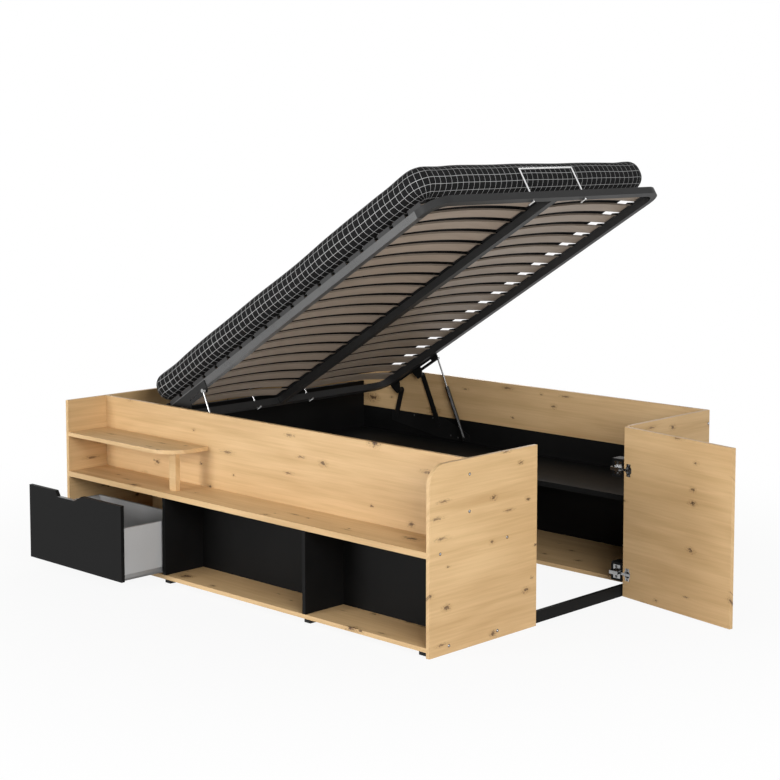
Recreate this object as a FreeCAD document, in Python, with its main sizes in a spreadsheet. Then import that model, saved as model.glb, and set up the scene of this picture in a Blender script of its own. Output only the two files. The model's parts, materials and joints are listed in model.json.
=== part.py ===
import FreeCAD, Part
import math
import os

import Sketcher
from FreeCAD import Placement, Rotation, Vector

# Storage bed with a lifted slatted base, drawn in millimetres.
# Origin: middle of the head panel's bottom face.  +X runs to the foot end,
# +Y from the cabinet side to the plain side, +Z up.  The bed is drawn with the
# base lifted, the drawer pulled out and the foot door open.

doc = FreeCAD.newDocument("storage_bed")
sheet = doc.addObject("Spreadsheet::Sheet", "Sizes")
size_names = []
nodes = []


class Size:
    """A length that carries both its sheet formula and its value."""

    def __init__(self, formula, find):
        self.formula = formula
        self.find = find

    @property
    def value(self):
        return self.find()

    def __add__(self, other):
        other = as_size(other)
        return Size(f"({self.formula} + {other.formula})", lambda: self.value + other.value)

    def __sub__(self, other):
        other = as_size(other)
        return Size(f"({self.formula} - {other.formula})", lambda: self.value - other.value)

    def __mul__(self, other):
        other = as_size(other)
        return Size(f"({self.formula} * {other.formula})", lambda: self.value * other.value)

    def __truediv__(self, other):
        other = as_size(other)
        return Size(f"({self.formula} / {other.formula})", lambda: self.value / other.value)

    def __neg__(self):
        return as_size(0) - self

    def __radd__(self, other):
        return as_size(other) + self

    def __rsub__(self, other):
        return as_size(other) - self

    def __rmul__(self, other):
        return as_size(other) * self


def as_size(amount):
    """Wrap a plain number so that it can stand beside sheet sizes."""
    if isinstance(amount, Size):
        return amount
    return Size(repr(float(amount)), lambda: float(amount))


def size(name, text):
    """Write one driving size into the sheet and hand it back."""
    size_names.append(name)
    row = len(size_names)
    sheet.set(f"A{row}", name)
    sheet.set(f"B{row}", text)
    sheet.setAlias(f"B{row}", name)
    return Size(f"Sizes.{name}", lambda: float(getattr(sheet, name)))


# Carcass
bed_length = size("bed_length", "2116")
bed_width = size("bed_width", "1693")
bed_height = size("bed_height", "679")
board = size("board", "16")
shelf_board = size("shelf_board", "22")
floor_gap = size("floor_gap", "20")
shelf_under = size("shelf_under", "352")
cabinet_depth = size("cabinet_depth", "461")
side_setback = size("side_setback", "198")
rear_depth = size("rear_depth", "433")
rear_split = size("rear_split", "481")
divider_left_at = size("divider_left_at", "648")
divider_right_at = size("divider_right_at", "1472")
rear_partition_at = size("rear_partition_at", "1060")
head_partition_at = size("head_partition_at", "104")
head_partition_top = size("head_partition_top", "600")
threshold_setback = size("threshold_setback", "20")
threshold_height = size("threshold_height", "44")
foot_corner = size("foot_corner", "75")
bedside_under = size("bedside_under", "526")
bedside_length = size("bedside_length", "702")
bedside_corner = size("bedside_corner", "125")
post_wide = size("post_wide", "40")
post_deep = size("post_deep", "22")
post_from_head = size("post_from_head", "631")
post_from_front = size("post_from_front", "52")
glide_half = size("glide_half", "16")
glide_inset = size("glide_inset", "34")
screw_radius = size("screw_radius", "4")
screw_proud = size("screw_proud", "0.8")
# Drawer
drawer_out = size("drawer_out", "205")
drawer_gap = size("drawer_gap", "4")
drawer_side = size("drawer_side", "12")
drawer_low = size("drawer_low", "66")
drawer_top = size("drawer_top", "253")
drawer_depth = size("drawer_depth", "340")
drawer_base = size("drawer_base", "4")
drawer_base_up = size("drawer_base_up", "8")
notch_at = size("notch_at", "205")
notch_length = size("notch_length", "180")
notch_depth = size("notch_depth", "24")
notch_slope_left = size("notch_slope_left", "16")
notch_slope_right = size("notch_slope_right", "50")
pull_sheet = size("pull_sheet", "1.5")
runner_space = size("runner_space", "13")
runner_sheet = size("runner_sheet", "1.5")
runner_length = size("runner_length", "330")
runner_play = size("runner_play", "0.4")
# Door
front_foot_width = size("front_foot_width", "580")
door_width = size("door_width", "565")
door_gap = size("door_gap", "2")
door_floor_gap = size("door_floor_gap", "8")
door_open = size("door_open", "80")
pole_out = size("pole_out", "12.7")
pole_inset = size("pole_inset", "8")
hinge_low = size("hinge_low", "98")
hinge_spread = size("hinge_spread", "413")
cup_inset = size("cup_inset", "24")
cup_radius = size("cup_radius", "17.5")
cup_depth = size("cup_depth", "12")
cup_wall = size("cup_wall", "1.2")
cup_play = size("cup_play", "0.1")
flange_tall = size("flange_tall", "50")
flange_wide = size("flange_wide", "22")
block_in = size("block_in", "22")
block_behind = size("block_behind", "28")
block_long = size("block_long", "52")
block_tall = size("block_tall", "72")
block_relief = size("block_relief", "3")
plate_tall = size("plate_tall", "54")
plate_wide = size("plate_wide", "33")
plate_thick = size("plate_thick", "2")
arm_tall = size("arm_tall", "14")
arm_deep = size("arm_deep", "24")
arm_long = size("arm_long", "40")
strap_over = size("strap_over", "30")
strap_thick = size("strap_thick", "2.4")
strap_tall = size("strap_tall", "10")
strap_play = size("strap_play", "0.3")
# Slatted base, measured along its own length, width and height
lift_open = size("lift_open", "31.54")
base_length = size("base_length", "1888")
base_width = size("base_width", "1392")
tube = size("tube", "30")
tube_wall = size("tube_wall", "1.5")
tube_bend = size("tube_bend", "92")
bend_leg = size("bend_leg", "20")
centre_wide = size("centre_wide", "36")
slat_width = size("slat_width", "55")
slat_thick = size("slat_thick", "8")
slat_bow = size("slat_bow", "21")
slat_count = size("slat_count", "20")
slat_first = size("slat_first", "109")
slat_end = size("slat_end", "72.8")
holder_width = size("holder_width", "70")
holder_height = size("holder_height", "17")
holder_floor = size("holder_floor", "2.4")
holder_roof = size("holder_roof", "1")
holder_wall = size("holder_wall", "4")
holder_reach = size("holder_reach", "40")
slat_play = size("slat_play", "0.3")
# Mattress and its retaining bows
mattress_width = size("mattress_width", "1406")
mattress_thick = size("mattress_thick", "133")
mattress_edge = size("mattress_edge", "50")
mattress_corner = size("mattress_corner", "80")
mattress_crown = size("mattress_crown", "8")
mattress_waist = size("mattress_waist", "5")
bow_wire = size("bow_wire", "7")
bow_width = size("bow_width", "318")
bow_offset = size("bow_offset", "18")
bow_top = size("bow_top", "139")
bow_hook = size("bow_hook", "27")
bow_play = size("bow_play", "0.5")
# Lift fitting
lift_from_head = size("lift_from_head", "348")
lift_height = size("lift_height", "460")
short_link = size("short_link", "129.5")
short_open = size("short_open", "74")
short_closed = size("short_closed", "180.5")
long_open = size("long_open", "114.5")
pivot_from_head = size("pivot_from_head", "67")
pivot_pitch = size("pivot_pitch", "160")
pivot_drop = size("pivot_drop", "37")
link_width = size("link_width", "26")
link_thick = size("link_thick", "4")
link_play = size("link_play", "1")
plate_sheet = size("plate_sheet", "3")
plate_end = size("plate_end", "32")
plate_low = size("plate_low", "30")
plate_high = size("plate_high", "19")
plate_foot = size("plate_foot", "14")
plate_nose = size("plate_nose", "18")
plate_step = size("plate_step", "26")
bracket_sheet = size("bracket_sheet", "4")
bracket_margin = size("bracket_margin", "15")
bracket_strip = size("bracket_strip", "6")
pin_radius = size("pin_radius", "5")
pin_fit = size("pin_fit", "0.05")
boss_radius = size("boss_radius", "10")
pivot_play = size("pivot_play", "0.4")
ball_along = size("ball_along", "301")
ball_drop = size("ball_drop", "16")
gas_angle = size("gas_angle", "65.2")
gas_open = size("gas_open", "400")
gas_radius = size("gas_radius", "9")
gas_play = size("gas_play", "1.5")
rod_radius = size("rod_radius", "4")
rod_shown = size("rod_shown", "140")
rod_inside = size("rod_inside", "40")
eye_thick = size("eye_thick", "12")
doc.recompute()

# Places that several pieces share
head_out = -board / 2
head_in = board / 2
foot_out = bed_length - board / 2
foot_in = foot_out - board
front = -bed_width / 2
rear = bed_width / 2
rear_in = rear - board
side_out = front + side_setback
side_in = side_out + board
cabinet_back = front + cabinet_depth
rear_front = rear_in - rear_depth
floor_top = floor_gap + board
shelf_top = shelf_under + shelf_board
divider_left = head_out + divider_left_at
divider_right = head_out + divider_right_at
door_side_front = front + front_foot_width
door_side_rear = door_side_front + door_width + 2 * door_gap
base_middle = (side_in + rear_in) / 2
holder_top = tube + holder_height
slat_bottom = tube + holder_floor
mattress_bottom = slat_bottom + slat_bow + slat_thick + slat_play


def bind(thing, prop, amount):
    """Tie one property to its sheet formula."""
    thing.setExpression(prop, as_size(amount).formula)


def set_place(thing, spot):
    """Tie the three coordinates of a placement to sheet formulas."""
    for axis, amount in zip("xyz", spot):
        bind(thing, f"Placement.Base.{axis}", amount)


def keep(thing, label):
    """List a finished piece under the name of its file."""
    thing.Label = label
    nodes.append(thing)
    return thing


def box(name, low, high):
    """A block between two opposite corners."""
    block = doc.addObject("Part::Box", name)
    for prop, begin, end in zip(("Length", "Width", "Height"), low, high):
        bind(block, prop, as_size(end) - begin)
    set_place(block, low)
    return block


def board_piece(label, low, high):
    """A flat board that is a piece of its own."""
    return keep(box(label, low, high), label)


def body(name, several=False):
    """An empty body; several lets it hold separate solids."""
    made = doc.addObject("PartDesign::Body", name)
    made.AllowCompound = several
    return made


def sketch_on(owner, plane, offset=0):
    """A sketch on one of the body's own planes, moved along its normal."""
    sketch = owner.newObject("Sketcher::SketchObject", f"{owner.Name}_sketch")
    for feature in owner.Origin.OriginFeatures:
        if feature.Role == plane:
            sketch.AttachmentSupport = [(feature, "")]
    sketch.MapMode = "FlatFace"
    bind(sketch, "AttachmentOffset.Base.z", offset)
    return sketch


def pin_down(sketch, element, point, u, v):
    """Hold one sketch point at two sheet formulas."""
    for kind, amount in (("DistanceX", as_size(u)), ("DistanceY", as_size(v))):
        index = sketch.addConstraint(
            Sketcher.Constraint(kind, -1, 1, element, point, amount.value)
        )
        sketch.setExpression(f"Constraints[{index}]", amount.formula)


def outline(sketch, corners):
    """Close straight lines through the corners."""
    first = sketch.GeometryCount
    spots = [Vector(as_size(u).value, as_size(v).value, 0) for u, v in corners]
    count = len(spots)
    for index in range(count):
        line = Part.LineSegment(spots[index], spots[(index + 1) % count])
        sketch.addGeometry(line, False)
    for index in range(count):
        following = first + (index + 1) % count
        sketch.addConstraint(
            Sketcher.Constraint("Coincident", first + index, 2, following, 1)
        )
    for index, (u, v) in enumerate(corners):
        pin_down(sketch, first + index, 1, u, v)


def rectangle(sketch, low, high):
    """Close a rectangle between two corners."""
    outline(sketch, [low, (high[0], low[1]), high, (low[0], high[1])])


def circle(sketch, u, v, radius):
    """Add one circle held by its centre and radius."""
    radius = as_size(radius)
    centre = Vector(as_size(u).value, as_size(v).value, 0)
    index = sketch.addGeometry(Part.Circle(centre, Vector(0, 0, 1), radius.value), False)
    pin_down(sketch, index, 3, u, v)
    rule = sketch.addConstraint(Sketcher.Constraint("Radius", index, radius.value))
    sketch.setExpression(f"Constraints[{rule}]", radius.formula)


def pad(owner, sketch, length, flip=False, both=False):
    """Raise a sketch into a solid."""
    made = owner.newObject("PartDesign::Pad", f"{owner.Name}_pad")
    made.Profile = sketch
    bind(made, "Length", length)
    made.Reversed = flip
    if both:
        made.SideType = "Symmetric"
    doc.recompute()
    return made


def pocket(owner, sketch, length, flip=False, both=False):
    """Sink a sketch into the solid."""
    made = owner.newObject("PartDesign::Pocket", f"{owner.Name}_pocket")
    made.Profile = sketch
    bind(made, "Length", length)
    made.Reversed = flip
    if both:
        made.SideType = "Symmetric"
    doc.recompute()
    return made


def revolve(owner, sketch):
    """Turn a sketch about its upright axis."""
    made = owner.newObject("PartDesign::Revolution", f"{owner.Name}_turn")
    made.Profile = sketch
    made.ReferenceAxis = (sketch, ["V_Axis"])
    made.Angle = 360
    doc.recompute()
    return made


def round_edges(owner, feature, direction, spots, radius):
    """Round the edges along one direction that pass over the given spots."""
    chosen = []
    for index, edge in enumerate(feature.Shape.Edges):
        if len(edge.Vertexes) != 2:
            continue
        run = edge.Vertexes[1].Point - edge.Vertexes[0].Point
        across = run.cross(direction).Length
        if across > 1e-6:
            continue
        for spot in spots:
            away = (edge.Vertexes[0].Point - spot).cross(direction).Length
            if away < 0.01:
                chosen.append(f"Edge{index + 1}")
    made = owner.newObject("PartDesign::Fillet", f"{owner.Name}_round")
    made.Base = (feature, chosen)
    bind(made, "Radius", radius)
    doc.recompute()
    return made


def repeat(owner, feature, axis, pitch, count):
    """Repeat a feature along one of the body's axes."""
    made = owner.newObject("PartDesign::LinearPattern", f"{owner.Name}_row")
    made.Originals = feature if isinstance(feature, list) else [feature]
    for origin_feature in owner.Origin.OriginFeatures:
        if origin_feature.Role == axis:
            made.Direction = (origin_feature, [""])
    made.Mode = "Spacing"
    bind(made, "Offset", pitch)
    bind(made, "Occurrences", count)
    owner.Tip = made
    doc.recompute()
    return made


def group(label, things):
    """Separate like solids kept as one piece."""
    made = doc.addObject("Part::Compound", label)
    made.Links = things
    return keep(made, label)


def cut(name, whole, tool):
    """One solid less another."""
    made = doc.addObject("Part::Cut", name)
    made.Base = whole
    made.Tool = tool
    return made


def polar(length, degrees):
    """A step in the XZ plane."""
    angle = math.radians(degrees)
    return Vector(length * math.cos(angle), 0, length * math.sin(angle))


def heading(step):
    """The angle of a step in the XZ plane, from 0 to 360 degrees."""
    return math.degrees(math.atan2(step.z, step.x)) % 360


# Lift geometry: the short link swings the head of the base, the long link is
# sized so that both ends of the travel close exactly.
tilt = Rotation(Vector(0, 1, 0), -lift_open.value)
short_pin = Vector(head_out.value + lift_from_head.value, 0, lift_height.value)
pivot_open = short_pin + polar(short_link.value, short_open.value)
pivot_closed = short_pin + polar(short_link.value, short_closed.value)
pivot_on_base = Vector(pivot_from_head.value, 0, -pivot_drop.value)
base_spot = pivot_open - tilt.multVec(pivot_on_base)
base_place = Placement(base_spot + Vector(0, base_middle.value, 0), tilt)
second_step = Vector(pivot_pitch.value, 0, 0)
second_open = pivot_open + tilt.multVec(second_step)
second_closed = pivot_closed + second_step
second_travel = second_closed - second_open
long_way = polar(1, long_open.value)
long_link = -second_travel.Length ** 2 / (2 * second_travel.dot(long_way))
long_pin = second_open - long_way * long_link
ball_step = Vector(ball_along.value, 0, pivot_drop.value - ball_drop.value)
ball_open = pivot_open + tilt.multVec(ball_step)
ball_closed = pivot_closed + ball_step
gas_pin = ball_open + polar(gas_open.value, -gas_angle.value)

# Boards of the carcass
board_piece("head_panel", (head_out, front, 0), (head_in, rear, bed_height))
board_piece("side_panel_front", (head_in, side_out, shelf_top), (foot_in, side_in, bed_height))
board_piece("side_panel_rear", (head_in, rear_in, rear_split), (foot_in, rear, bed_height))
board_piece("rear_lower_panel", (head_in, rear_in, 0), (foot_in, rear, rear_split))
board_piece("foot_panel_rear", (foot_in, door_side_rear, 0), (foot_out, rear, bed_height))
board_piece("long_shelf", (head_in, front, shelf_under), (foot_in, cabinet_back, shelf_top))
board_piece("cabinet_floor", (head_in, front, floor_gap), (foot_in, cabinet_back, floor_top))
for label, place in (("divider_left", divider_left), ("divider_right", divider_right)):
    board_piece(label, (place, front, floor_top), (place + board, cabinet_back, shelf_under))
board_piece(
    "drawer_bay_back",
    (head_in, cabinet_back - board, floor_top),
    (divider_left, cabinet_back, shelf_under),
)
board_piece(
    "middle_bay_back",
    (divider_left + board, side_out, floor_top),
    (divider_right, side_in, shelf_under),
)
board_piece(
    "right_bay_back",
    (divider_right + board, side_out, floor_top),
    (foot_in, side_in, shelf_under),
)
board_piece("rear_cabinet_floor", (head_in, rear_front, floor_gap), (foot_in, rear_in, floor_top))
board_piece("rear_cabinet_shelf", (head_in, rear_front, shelf_under), (foot_in, rear_in, shelf_top))
rear_partition = head_out + rear_partition_at
board_piece(
    "rear_cabinet_partition",
    (rear_partition, rear_front, floor_top),
    (rear_partition + board, rear_in, shelf_under),
)
board_piece(
    "threshold_rail",
    (foot_out - threshold_setback - board, cabinet_back, 0),
    (foot_out - threshold_setback, rear_front, threshold_height),
)
post_x = head_out + post_from_head
post_y = front + post_from_front
board_piece(
    "shelf_post",
    (post_x, post_y, shelf_top),
    (post_x + post_wide, post_y + post_deep, bedside_under),
)

# Foot panel beside the door, with its rounded upper corner
foot_panel = keep(body("foot_panel_front"), "foot_panel_front")
face = sketch_on(foot_panel, "YZ_Plane", foot_in)
rectangle(face, (front, 0), (door_side_front, bed_height))
slab = pad(foot_panel, face, board)
corner = Vector(0, front.value, bed_height.value)
round_edges(foot_panel, slab, Vector(1, 0, 0), [corner], foot_corner)

# Bedside shelf, with its rounded outer corner
bedside = keep(body("bedside_shelf"), "bedside_shelf")
face = sketch_on(bedside, "XY_Plane", bedside_under)
bedside_end = head_out + bedside_length
rectangle(face, (head_in, front), (bedside_end, side_out))
slab = pad(bedside, face, board)
corner = Vector(bedside_end.value, front.value, 0)
round_edges(bedside, slab, Vector(0, 0, 1), [corner], bedside_corner)

# Boards across the head end: over both cabinets, and down between them
head_board = head_out + head_partition_at
board_piece(
    "head_partition_upper",
    (head_board, side_in, shelf_top),
    (head_board + board, rear_in, head_partition_top),
)
board_piece(
    "head_partition_lower",
    (head_board, cabinet_back, 0),
    (head_board + board, rear_front, shelf_top),
)


def stud(name, radius, length, spot):
    """A round head standing out along X from a spot."""
    bar = doc.addObject("Part::Cylinder", name)
    bind(bar, "Radius", radius)
    bind(bar, "Height", length)
    bar.Placement = Placement(Vector(0, 0, 0), Rotation(Vector(0, 1, 0), 90))
    set_place(bar, spot)
    return bar


glides = []
for x in (divider_left + board / 2, divider_right + board / 2, foot_in - glide_inset):
    for y in (
        front + glide_inset,
        cabinet_back - glide_inset,
        rear_front + glide_inset,
        rear_in - glide_inset,
    ):
        low = (x - glide_half, y - glide_half, 0)
        glides.append(box("glide", low, (x + glide_half, y + glide_half, floor_gap)))
group("feet", glides)

shelf_line = shelf_under + shelf_board / 2
floor_line = floor_gap + board / 2
front_screws = [
    (side_out + board / 2, bed_height * 0.918),
    (side_out + board / 2, bed_height * 0.722),
    (front + cabinet_depth * 0.117, shelf_line),
    (front + cabinet_depth * 0.894, shelf_line),
    (front + cabinet_depth * 0.219, floor_line),
    (front + cabinet_depth * 0.783, floor_line),
]
rear_screws = [
    (rear - board / 2, bed_height * 0.918),
    (rear - board / 2, bed_height * 0.36),
]
screws = []
for y, z in front_screws + rear_screws:
    screws.append(stud("screw", screw_radius, screw_proud, (foot_out, y, z)))
group("panel_screws", screws)

# Drawer, drawn pulled out
drawer_face = front - drawer_out
drawer_left = head_in + drawer_gap
drawer_right = divider_left - drawer_gap
front_low = floor_top + drawer_gap
front_high = shelf_under - drawer_gap
notch_left = head_out + notch_at
notch_right = notch_left + notch_length
notch_base = front_high - notch_depth
drawer_front = keep(body("drawer_front"), "drawer_front")
face = sketch_on(drawer_front, "XZ_Plane", -drawer_face)
outline(
    face,
    [
        (drawer_left, front_low),
        (drawer_right, front_low),
        (drawer_right, front_high),
        (notch_right, front_high),
        (notch_right - notch_slope_right, notch_base),
        (notch_left + notch_slope_left, notch_base),
        (notch_left, front_high),
        (drawer_left, front_high),
    ],
)
pad(drawer_front, face, board, flip=True)
box_front = drawer_face + board
box_back = box_front + drawer_depth
box_left = head_in + runner_space
box_right = divider_left - runner_space
board_piece(
    "drawer_pull",
    (notch_left + notch_slope_left, drawer_face, notch_base),
    (notch_right - notch_slope_right, box_front, notch_base + pull_sheet),
)
board_piece(
    "drawer_side_left",
    (box_left, box_front, drawer_low),
    (box_left + drawer_side, box_back, drawer_top),
)
board_piece(
    "drawer_side_right",
    (box_right - drawer_side, box_front, drawer_low),
    (box_right, box_back, drawer_top),
)
inner_left = box_left + drawer_side
inner_right = box_right - drawer_side
board_piece(
    "drawer_back",
    (inner_left, box_back - drawer_side, drawer_low),
    (inner_right, box_back, drawer_top),
)
base_low = drawer_low + drawer_base_up
board_piece(
    "drawer_bottom",
    (inner_left, box_front, base_low),
    (inner_right, box_back - drawer_side, base_low + drawer_base),
)

# Drawer runners: an angle on the carcass and a Z strip under each drawer side
ledge = floor_top + 2 * drawer_gap
strip_low = ledge + runner_sheet + runner_play
fixed_sections = []
moving_sections = []
for wall, inward in ((head_in, 1), (divider_left, -1)):
    web = wall + inward * runner_sheet
    lip = wall + inward * (runner_space - 2)
    fixed_sections.append(
        [
            (wall, ledge),
            (lip, ledge),
            (lip, ledge + runner_sheet),
            (web, ledge + runner_sheet),
            (web, drawer_low - 2),
            (wall, drawer_low - 2),
        ]
    )
    toe = web + inward
    leg = wall + inward * (runner_space - 1)
    shank = leg + inward * runner_sheet
    flange = wall + inward * (runner_space + drawer_side)
    moving_sections.append(
        [
            (toe, strip_low),
            (shank, strip_low),
            (shank, drawer_low - runner_sheet),
            (flange, drawer_low - runner_sheet),
            (flange, drawer_low),
            (leg, drawer_low),
            (leg, strip_low + runner_sheet),
            (toe, strip_low + runner_sheet),
        ]
    )


def runners(label, sections, begin):
    """A pair of folded strips along Y."""
    pair = keep(body(label, True), label)
    face = sketch_on(pair, "XZ_Plane", -begin)
    for corners in sections:
        outline(face, corners)
    pad(pair, face, runner_length, flip=True)


runners("runners_fixed", fixed_sections, front + board + 2 * drawer_gap)
runners("runners_moving", moving_sections, box_front)

# Foot door, drawn about its hinge line and swung open
pole = Vector(foot_out.value + pole_out.value, door_side_rear.value - door_gap.value - pole_inset.value, 0)
door_place = Placement(pole, Rotation(Vector(0, 0, 1), door_open.value))
door_inner = -pole_out - board
door = keep(body("door_panel"), "door_panel")
face = sketch_on(door, "YZ_Plane", door_inner)
rectangle(face, (pole_inset - door_width, door_floor_gap), (pole_inset, bed_height))
pad(door, face, board)
cup_line = pole_inset - cup_inset
hinge_heights = (hinge_low, hinge_low + hinge_spread)
bores = sketch_on(door, "YZ_Plane", door_inner)
for height in hinge_heights:
    circle(bores, cup_line, height, cup_radius)
pocket(door, bores, cup_depth + cup_play, flip=True)
rebates = sketch_on(door, "YZ_Plane", door_inner)
for height in hinge_heights:
    rectangle(
        rebates,
        (cup_line - flange_wide / 2, height - flange_tall / 2),
        (cup_line + flange_wide / 2, height + flange_tall / 2),
    )
pocket(door, rebates, cup_wall, flip=True)
door.Placement = door_place

cups = keep(body("hinge_cups", True), "hinge_cups")
cup_rim = door_inner - strap_play
flanges = sketch_on(cups, "YZ_Plane", cup_rim)
for height in hinge_heights:
    rectangle(
        flanges,
        (cup_line - flange_wide / 2, height - flange_tall / 2),
        (cup_line + flange_wide / 2, height + flange_tall / 2),
    )
pad(cups, flanges, cup_wall + strap_play)
bowls = sketch_on(cups, "YZ_Plane", cup_rim)
for height in hinge_heights:
    circle(bowls, cup_line, height, cup_radius - cup_play)
pad(cups, bowls, cup_depth + strap_play)
hollows = sketch_on(cups, "YZ_Plane", cup_rim)
for height in hinge_heights:
    circle(hollows, cup_line, height, cup_radius - 3 * cup_wall)
pocket(cups, hollows, cup_depth + strap_play - cup_wall, flip=True)
# Straps over the cups, past the door's edge to the arms
straps = sketch_on(cups, "XY_Plane", hinge_low - strap_tall / 2)
rectangle(
    straps,
    (cup_rim - strap_thick, cup_line - cup_radius + cup_play),
    (cup_rim, pole_inset + strap_over),
)
strap = pad(cups, straps, strap_tall)
repeat(cups, strap, "Z_Axis", hinge_spread, 2)
cups.Placement = door_place
strap_sweep = math.hypot((cup_rim - strap_thick).value, (pole_inset + strap_over).value) + strap_play.value
strap_top = hinge_low + strap_tall / 2 + strap_play
strap_space = strap_tall + 2 * strap_play

# Hinge blocks behind the plain foot panel, with plates and arms on them
block_face = door_side_rear - block_in
blocks = keep(body("hinge_blocks", True), "hinge_blocks")
face = sketch_on(blocks, "XY_Plane", hinge_low - block_tall / 2)
outline(
    face,
    [
        (foot_in - block_long, block_face),
        (foot_in - block_relief, block_face),
        (foot_in - block_relief, door_side_rear + 1),
        (foot_in, door_side_rear + 1),
        (foot_in, door_side_rear + block_behind),
        (foot_in - block_long, door_side_rear + block_behind),
    ],
)
slab = pad(blocks, face, block_tall)
face = sketch_on(blocks, "XY_Plane", strap_top)
circle(face, pole.x, pole.y, strap_sweep)
sweep = pocket(blocks, face, strap_space)
repeat(blocks, [slab, sweep], "Z_Axis", hinge_spread, 2)

arms = keep(body("hinge_arms", True), "hinge_arms")
arm_tip = foot_in - block_relief
face = sketch_on(arms, "XZ_Plane", -block_face)
rectangle(
    face,
    (arm_tip - plate_wide - 4, hinge_low - plate_tall / 2),
    (arm_tip - 4, hinge_low + plate_tall / 2),
)
plate = pad(arms, face, plate_thick)
face = sketch_on(arms, "XZ_Plane", -block_face)
rectangle(
    face,
    (arm_tip - arm_long, hinge_low - arm_tall / 2),
    (arm_tip, hinge_low + arm_tall / 2),
)
channel = pad(arms, face, plate_thick + arm_deep)
face = sketch_on(arms, "XY_Plane", strap_top)
circle(face, pole.x, pole.y, strap_sweep)
sweep = pocket(arms, face, strap_space)
repeat(arms, [plate, channel, sweep], "Z_Axis", hinge_spread, 2)


# Tube frame of the slatted base
def tube_run(label, low, high, along):
    """A straight square tube, hollow from end to end."""
    whole = box(f"{label}_whole", low, high)
    bore_low = [edge if axis == along else edge + tube_wall for axis, edge in zip("xyz", low)]
    bore_high = [edge if axis == along else edge - tube_wall for axis, edge in zip("xyz", high)]
    bore = box(f"{label}_bore", bore_low, bore_high)
    made = keep(cut(label, whole, bore), label)
    made.Placement = base_place


def bend_body(name, inset, legs):
    """A bar along the foot end that turns round both corners."""
    bar = body(name)
    face = sketch_on(bar, "XY_Plane", inset)
    outer_x = base_length - inset
    inner_x = base_length - tube + inset
    outer_y = base_width / 2 - inset
    inner_y = base_width / 2 - tube + inset
    outline(
        face,
        [
            (legs, -outer_y),
            (outer_x, -outer_y),
            (outer_x, outer_y),
            (legs, outer_y),
            (legs, inner_y),
            (inner_x, inner_y),
            (inner_x, -inner_y),
            (legs, -inner_y),
        ],
    )
    slab = pad(bar, face, tube - 2 * inset)
    upright = Vector(0, 0, 1)
    outer = [Vector(outer_x.value, side * outer_y.value, 0) for side in (-1, 1)]
    inner = [Vector(inner_x.value, side * inner_y.value, 0) for side in (-1, 1)]
    turned = round_edges(bar, slab, upright, outer, tube_bend - inset)
    round_edges(bar, turned, upright, inner, tube_bend - tube + inset)
    return bar


turned_place = Placement(Vector(base_length.value, 0, 0), Rotation(Vector(0, 0, 1), 180))
leg_end = base_length - tube_bend - bend_leg


def end_rail(label, offset):
    """The rail at one end of the base, drilled for the mattress bow."""
    whole = bend_body(f"{label}_whole", as_size(0), leg_end)
    drill = sketch_on(whole, "XY_Plane")
    for side in (-1, 1):
        circle(drill, base_length - tube / 2, offset + side * bow_width / 2, bow_wire / 2 + bow_play)
    pocket(whole, drill, tube, flip=True)
    bore = bend_body(f"{label}_bore", tube_wall, leg_end)
    return keep(cut(label, whole, bore), label)


end_rail("foot_rail", bow_offset).Placement = base_place
end_rail("head_rail", -bow_offset).Placement = base_place.multiply(turned_place)
edge_y = base_width / 2
tube_run("base_rail_front", (tube_bend + bend_leg, -edge_y, 0), (leg_end, tube - edge_y, tube), "x")
tube_run("base_rail_rear", (tube_bend + bend_leg, edge_y - tube, 0), (leg_end, edge_y, tube), "x")
tube_run("centre_rail", (tube, -centre_wide / 2, 0), (base_length - tube, centre_wide / 2, tube), "x")

# Sprung slats in two columns, with a holder under every end
slat_pitch = (base_length - slat_first - slat_end) / (slat_count - 1)
last_slat = slat_end
slat_outer = edge_y - holder_wall - slat_play
slat_inner = holder_wall / 2 + slat_play
slat_span = slat_outer - slat_inner
slat_arc = (slat_span * slat_span / 4 + slat_bow * slat_bow) / (2 * slat_bow)


def arc_between(sketch, begin, end, rise, radius):
    """An arched line between two points at one height."""
    start = Vector(begin[0].value, begin[1].value, 0)
    finish = Vector(end[0].value, end[1].value, 0)
    crown = (start + finish) * 0.5 + Vector(0, rise.value, 0)
    index = sketch.addGeometry(Part.Arc(start, crown, finish), False)
    curve = sketch.Geometry[index]
    first = 1 if (curve.StartPoint - start).Length < 0.01 else 2
    pin_down(sketch, index, first, *begin)
    pin_down(sketch, index, 3 - first, *end)
    rule = sketch.addConstraint(Sketcher.Constraint("Radius", index, radius.value))
    sketch.setExpression(f"Constraints[{rule}]", radius.formula)
    return index, first


def slat_row(label, side):
    """One column of arched slats."""
    row = keep(body(label, True), label)
    face = sketch_on(row, "YZ_Plane", last_slat - slat_width / 2)
    begin = -slat_inner if side < 0 else slat_outer
    end = -slat_outer if side < 0 else slat_inner
    low, low_point = arc_between(
        face, (begin, slat_bottom), (end, slat_bottom), slat_bow, slat_arc
    )
    top = slat_bottom + slat_thick
    high, high_point = arc_between(face, (begin, top), (end, top), slat_bow, slat_arc)
    other_end = {1: 2, 2: 1}
    ends = ((low_point, high_point), (other_end[low_point], other_end[high_point]))
    for low_end, high_end in ends:
        one = face.getPoint(low, low_end)
        two = face.getPoint(high, high_end)
        index = face.addGeometry(Part.LineSegment(one, two), False)
        face.addConstraint(Sketcher.Constraint("Coincident", index, 1, low, low_end))
        face.addConstraint(Sketcher.Constraint("Coincident", index, 2, high, high_end))
    slat = pad(row, face, slat_width)
    repeat(row, slat, "X_Axis", slat_pitch, slat_count)
    row.Placement = base_place


slat_row("slats_front", -1)
slat_row("slats_rear", 1)


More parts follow.
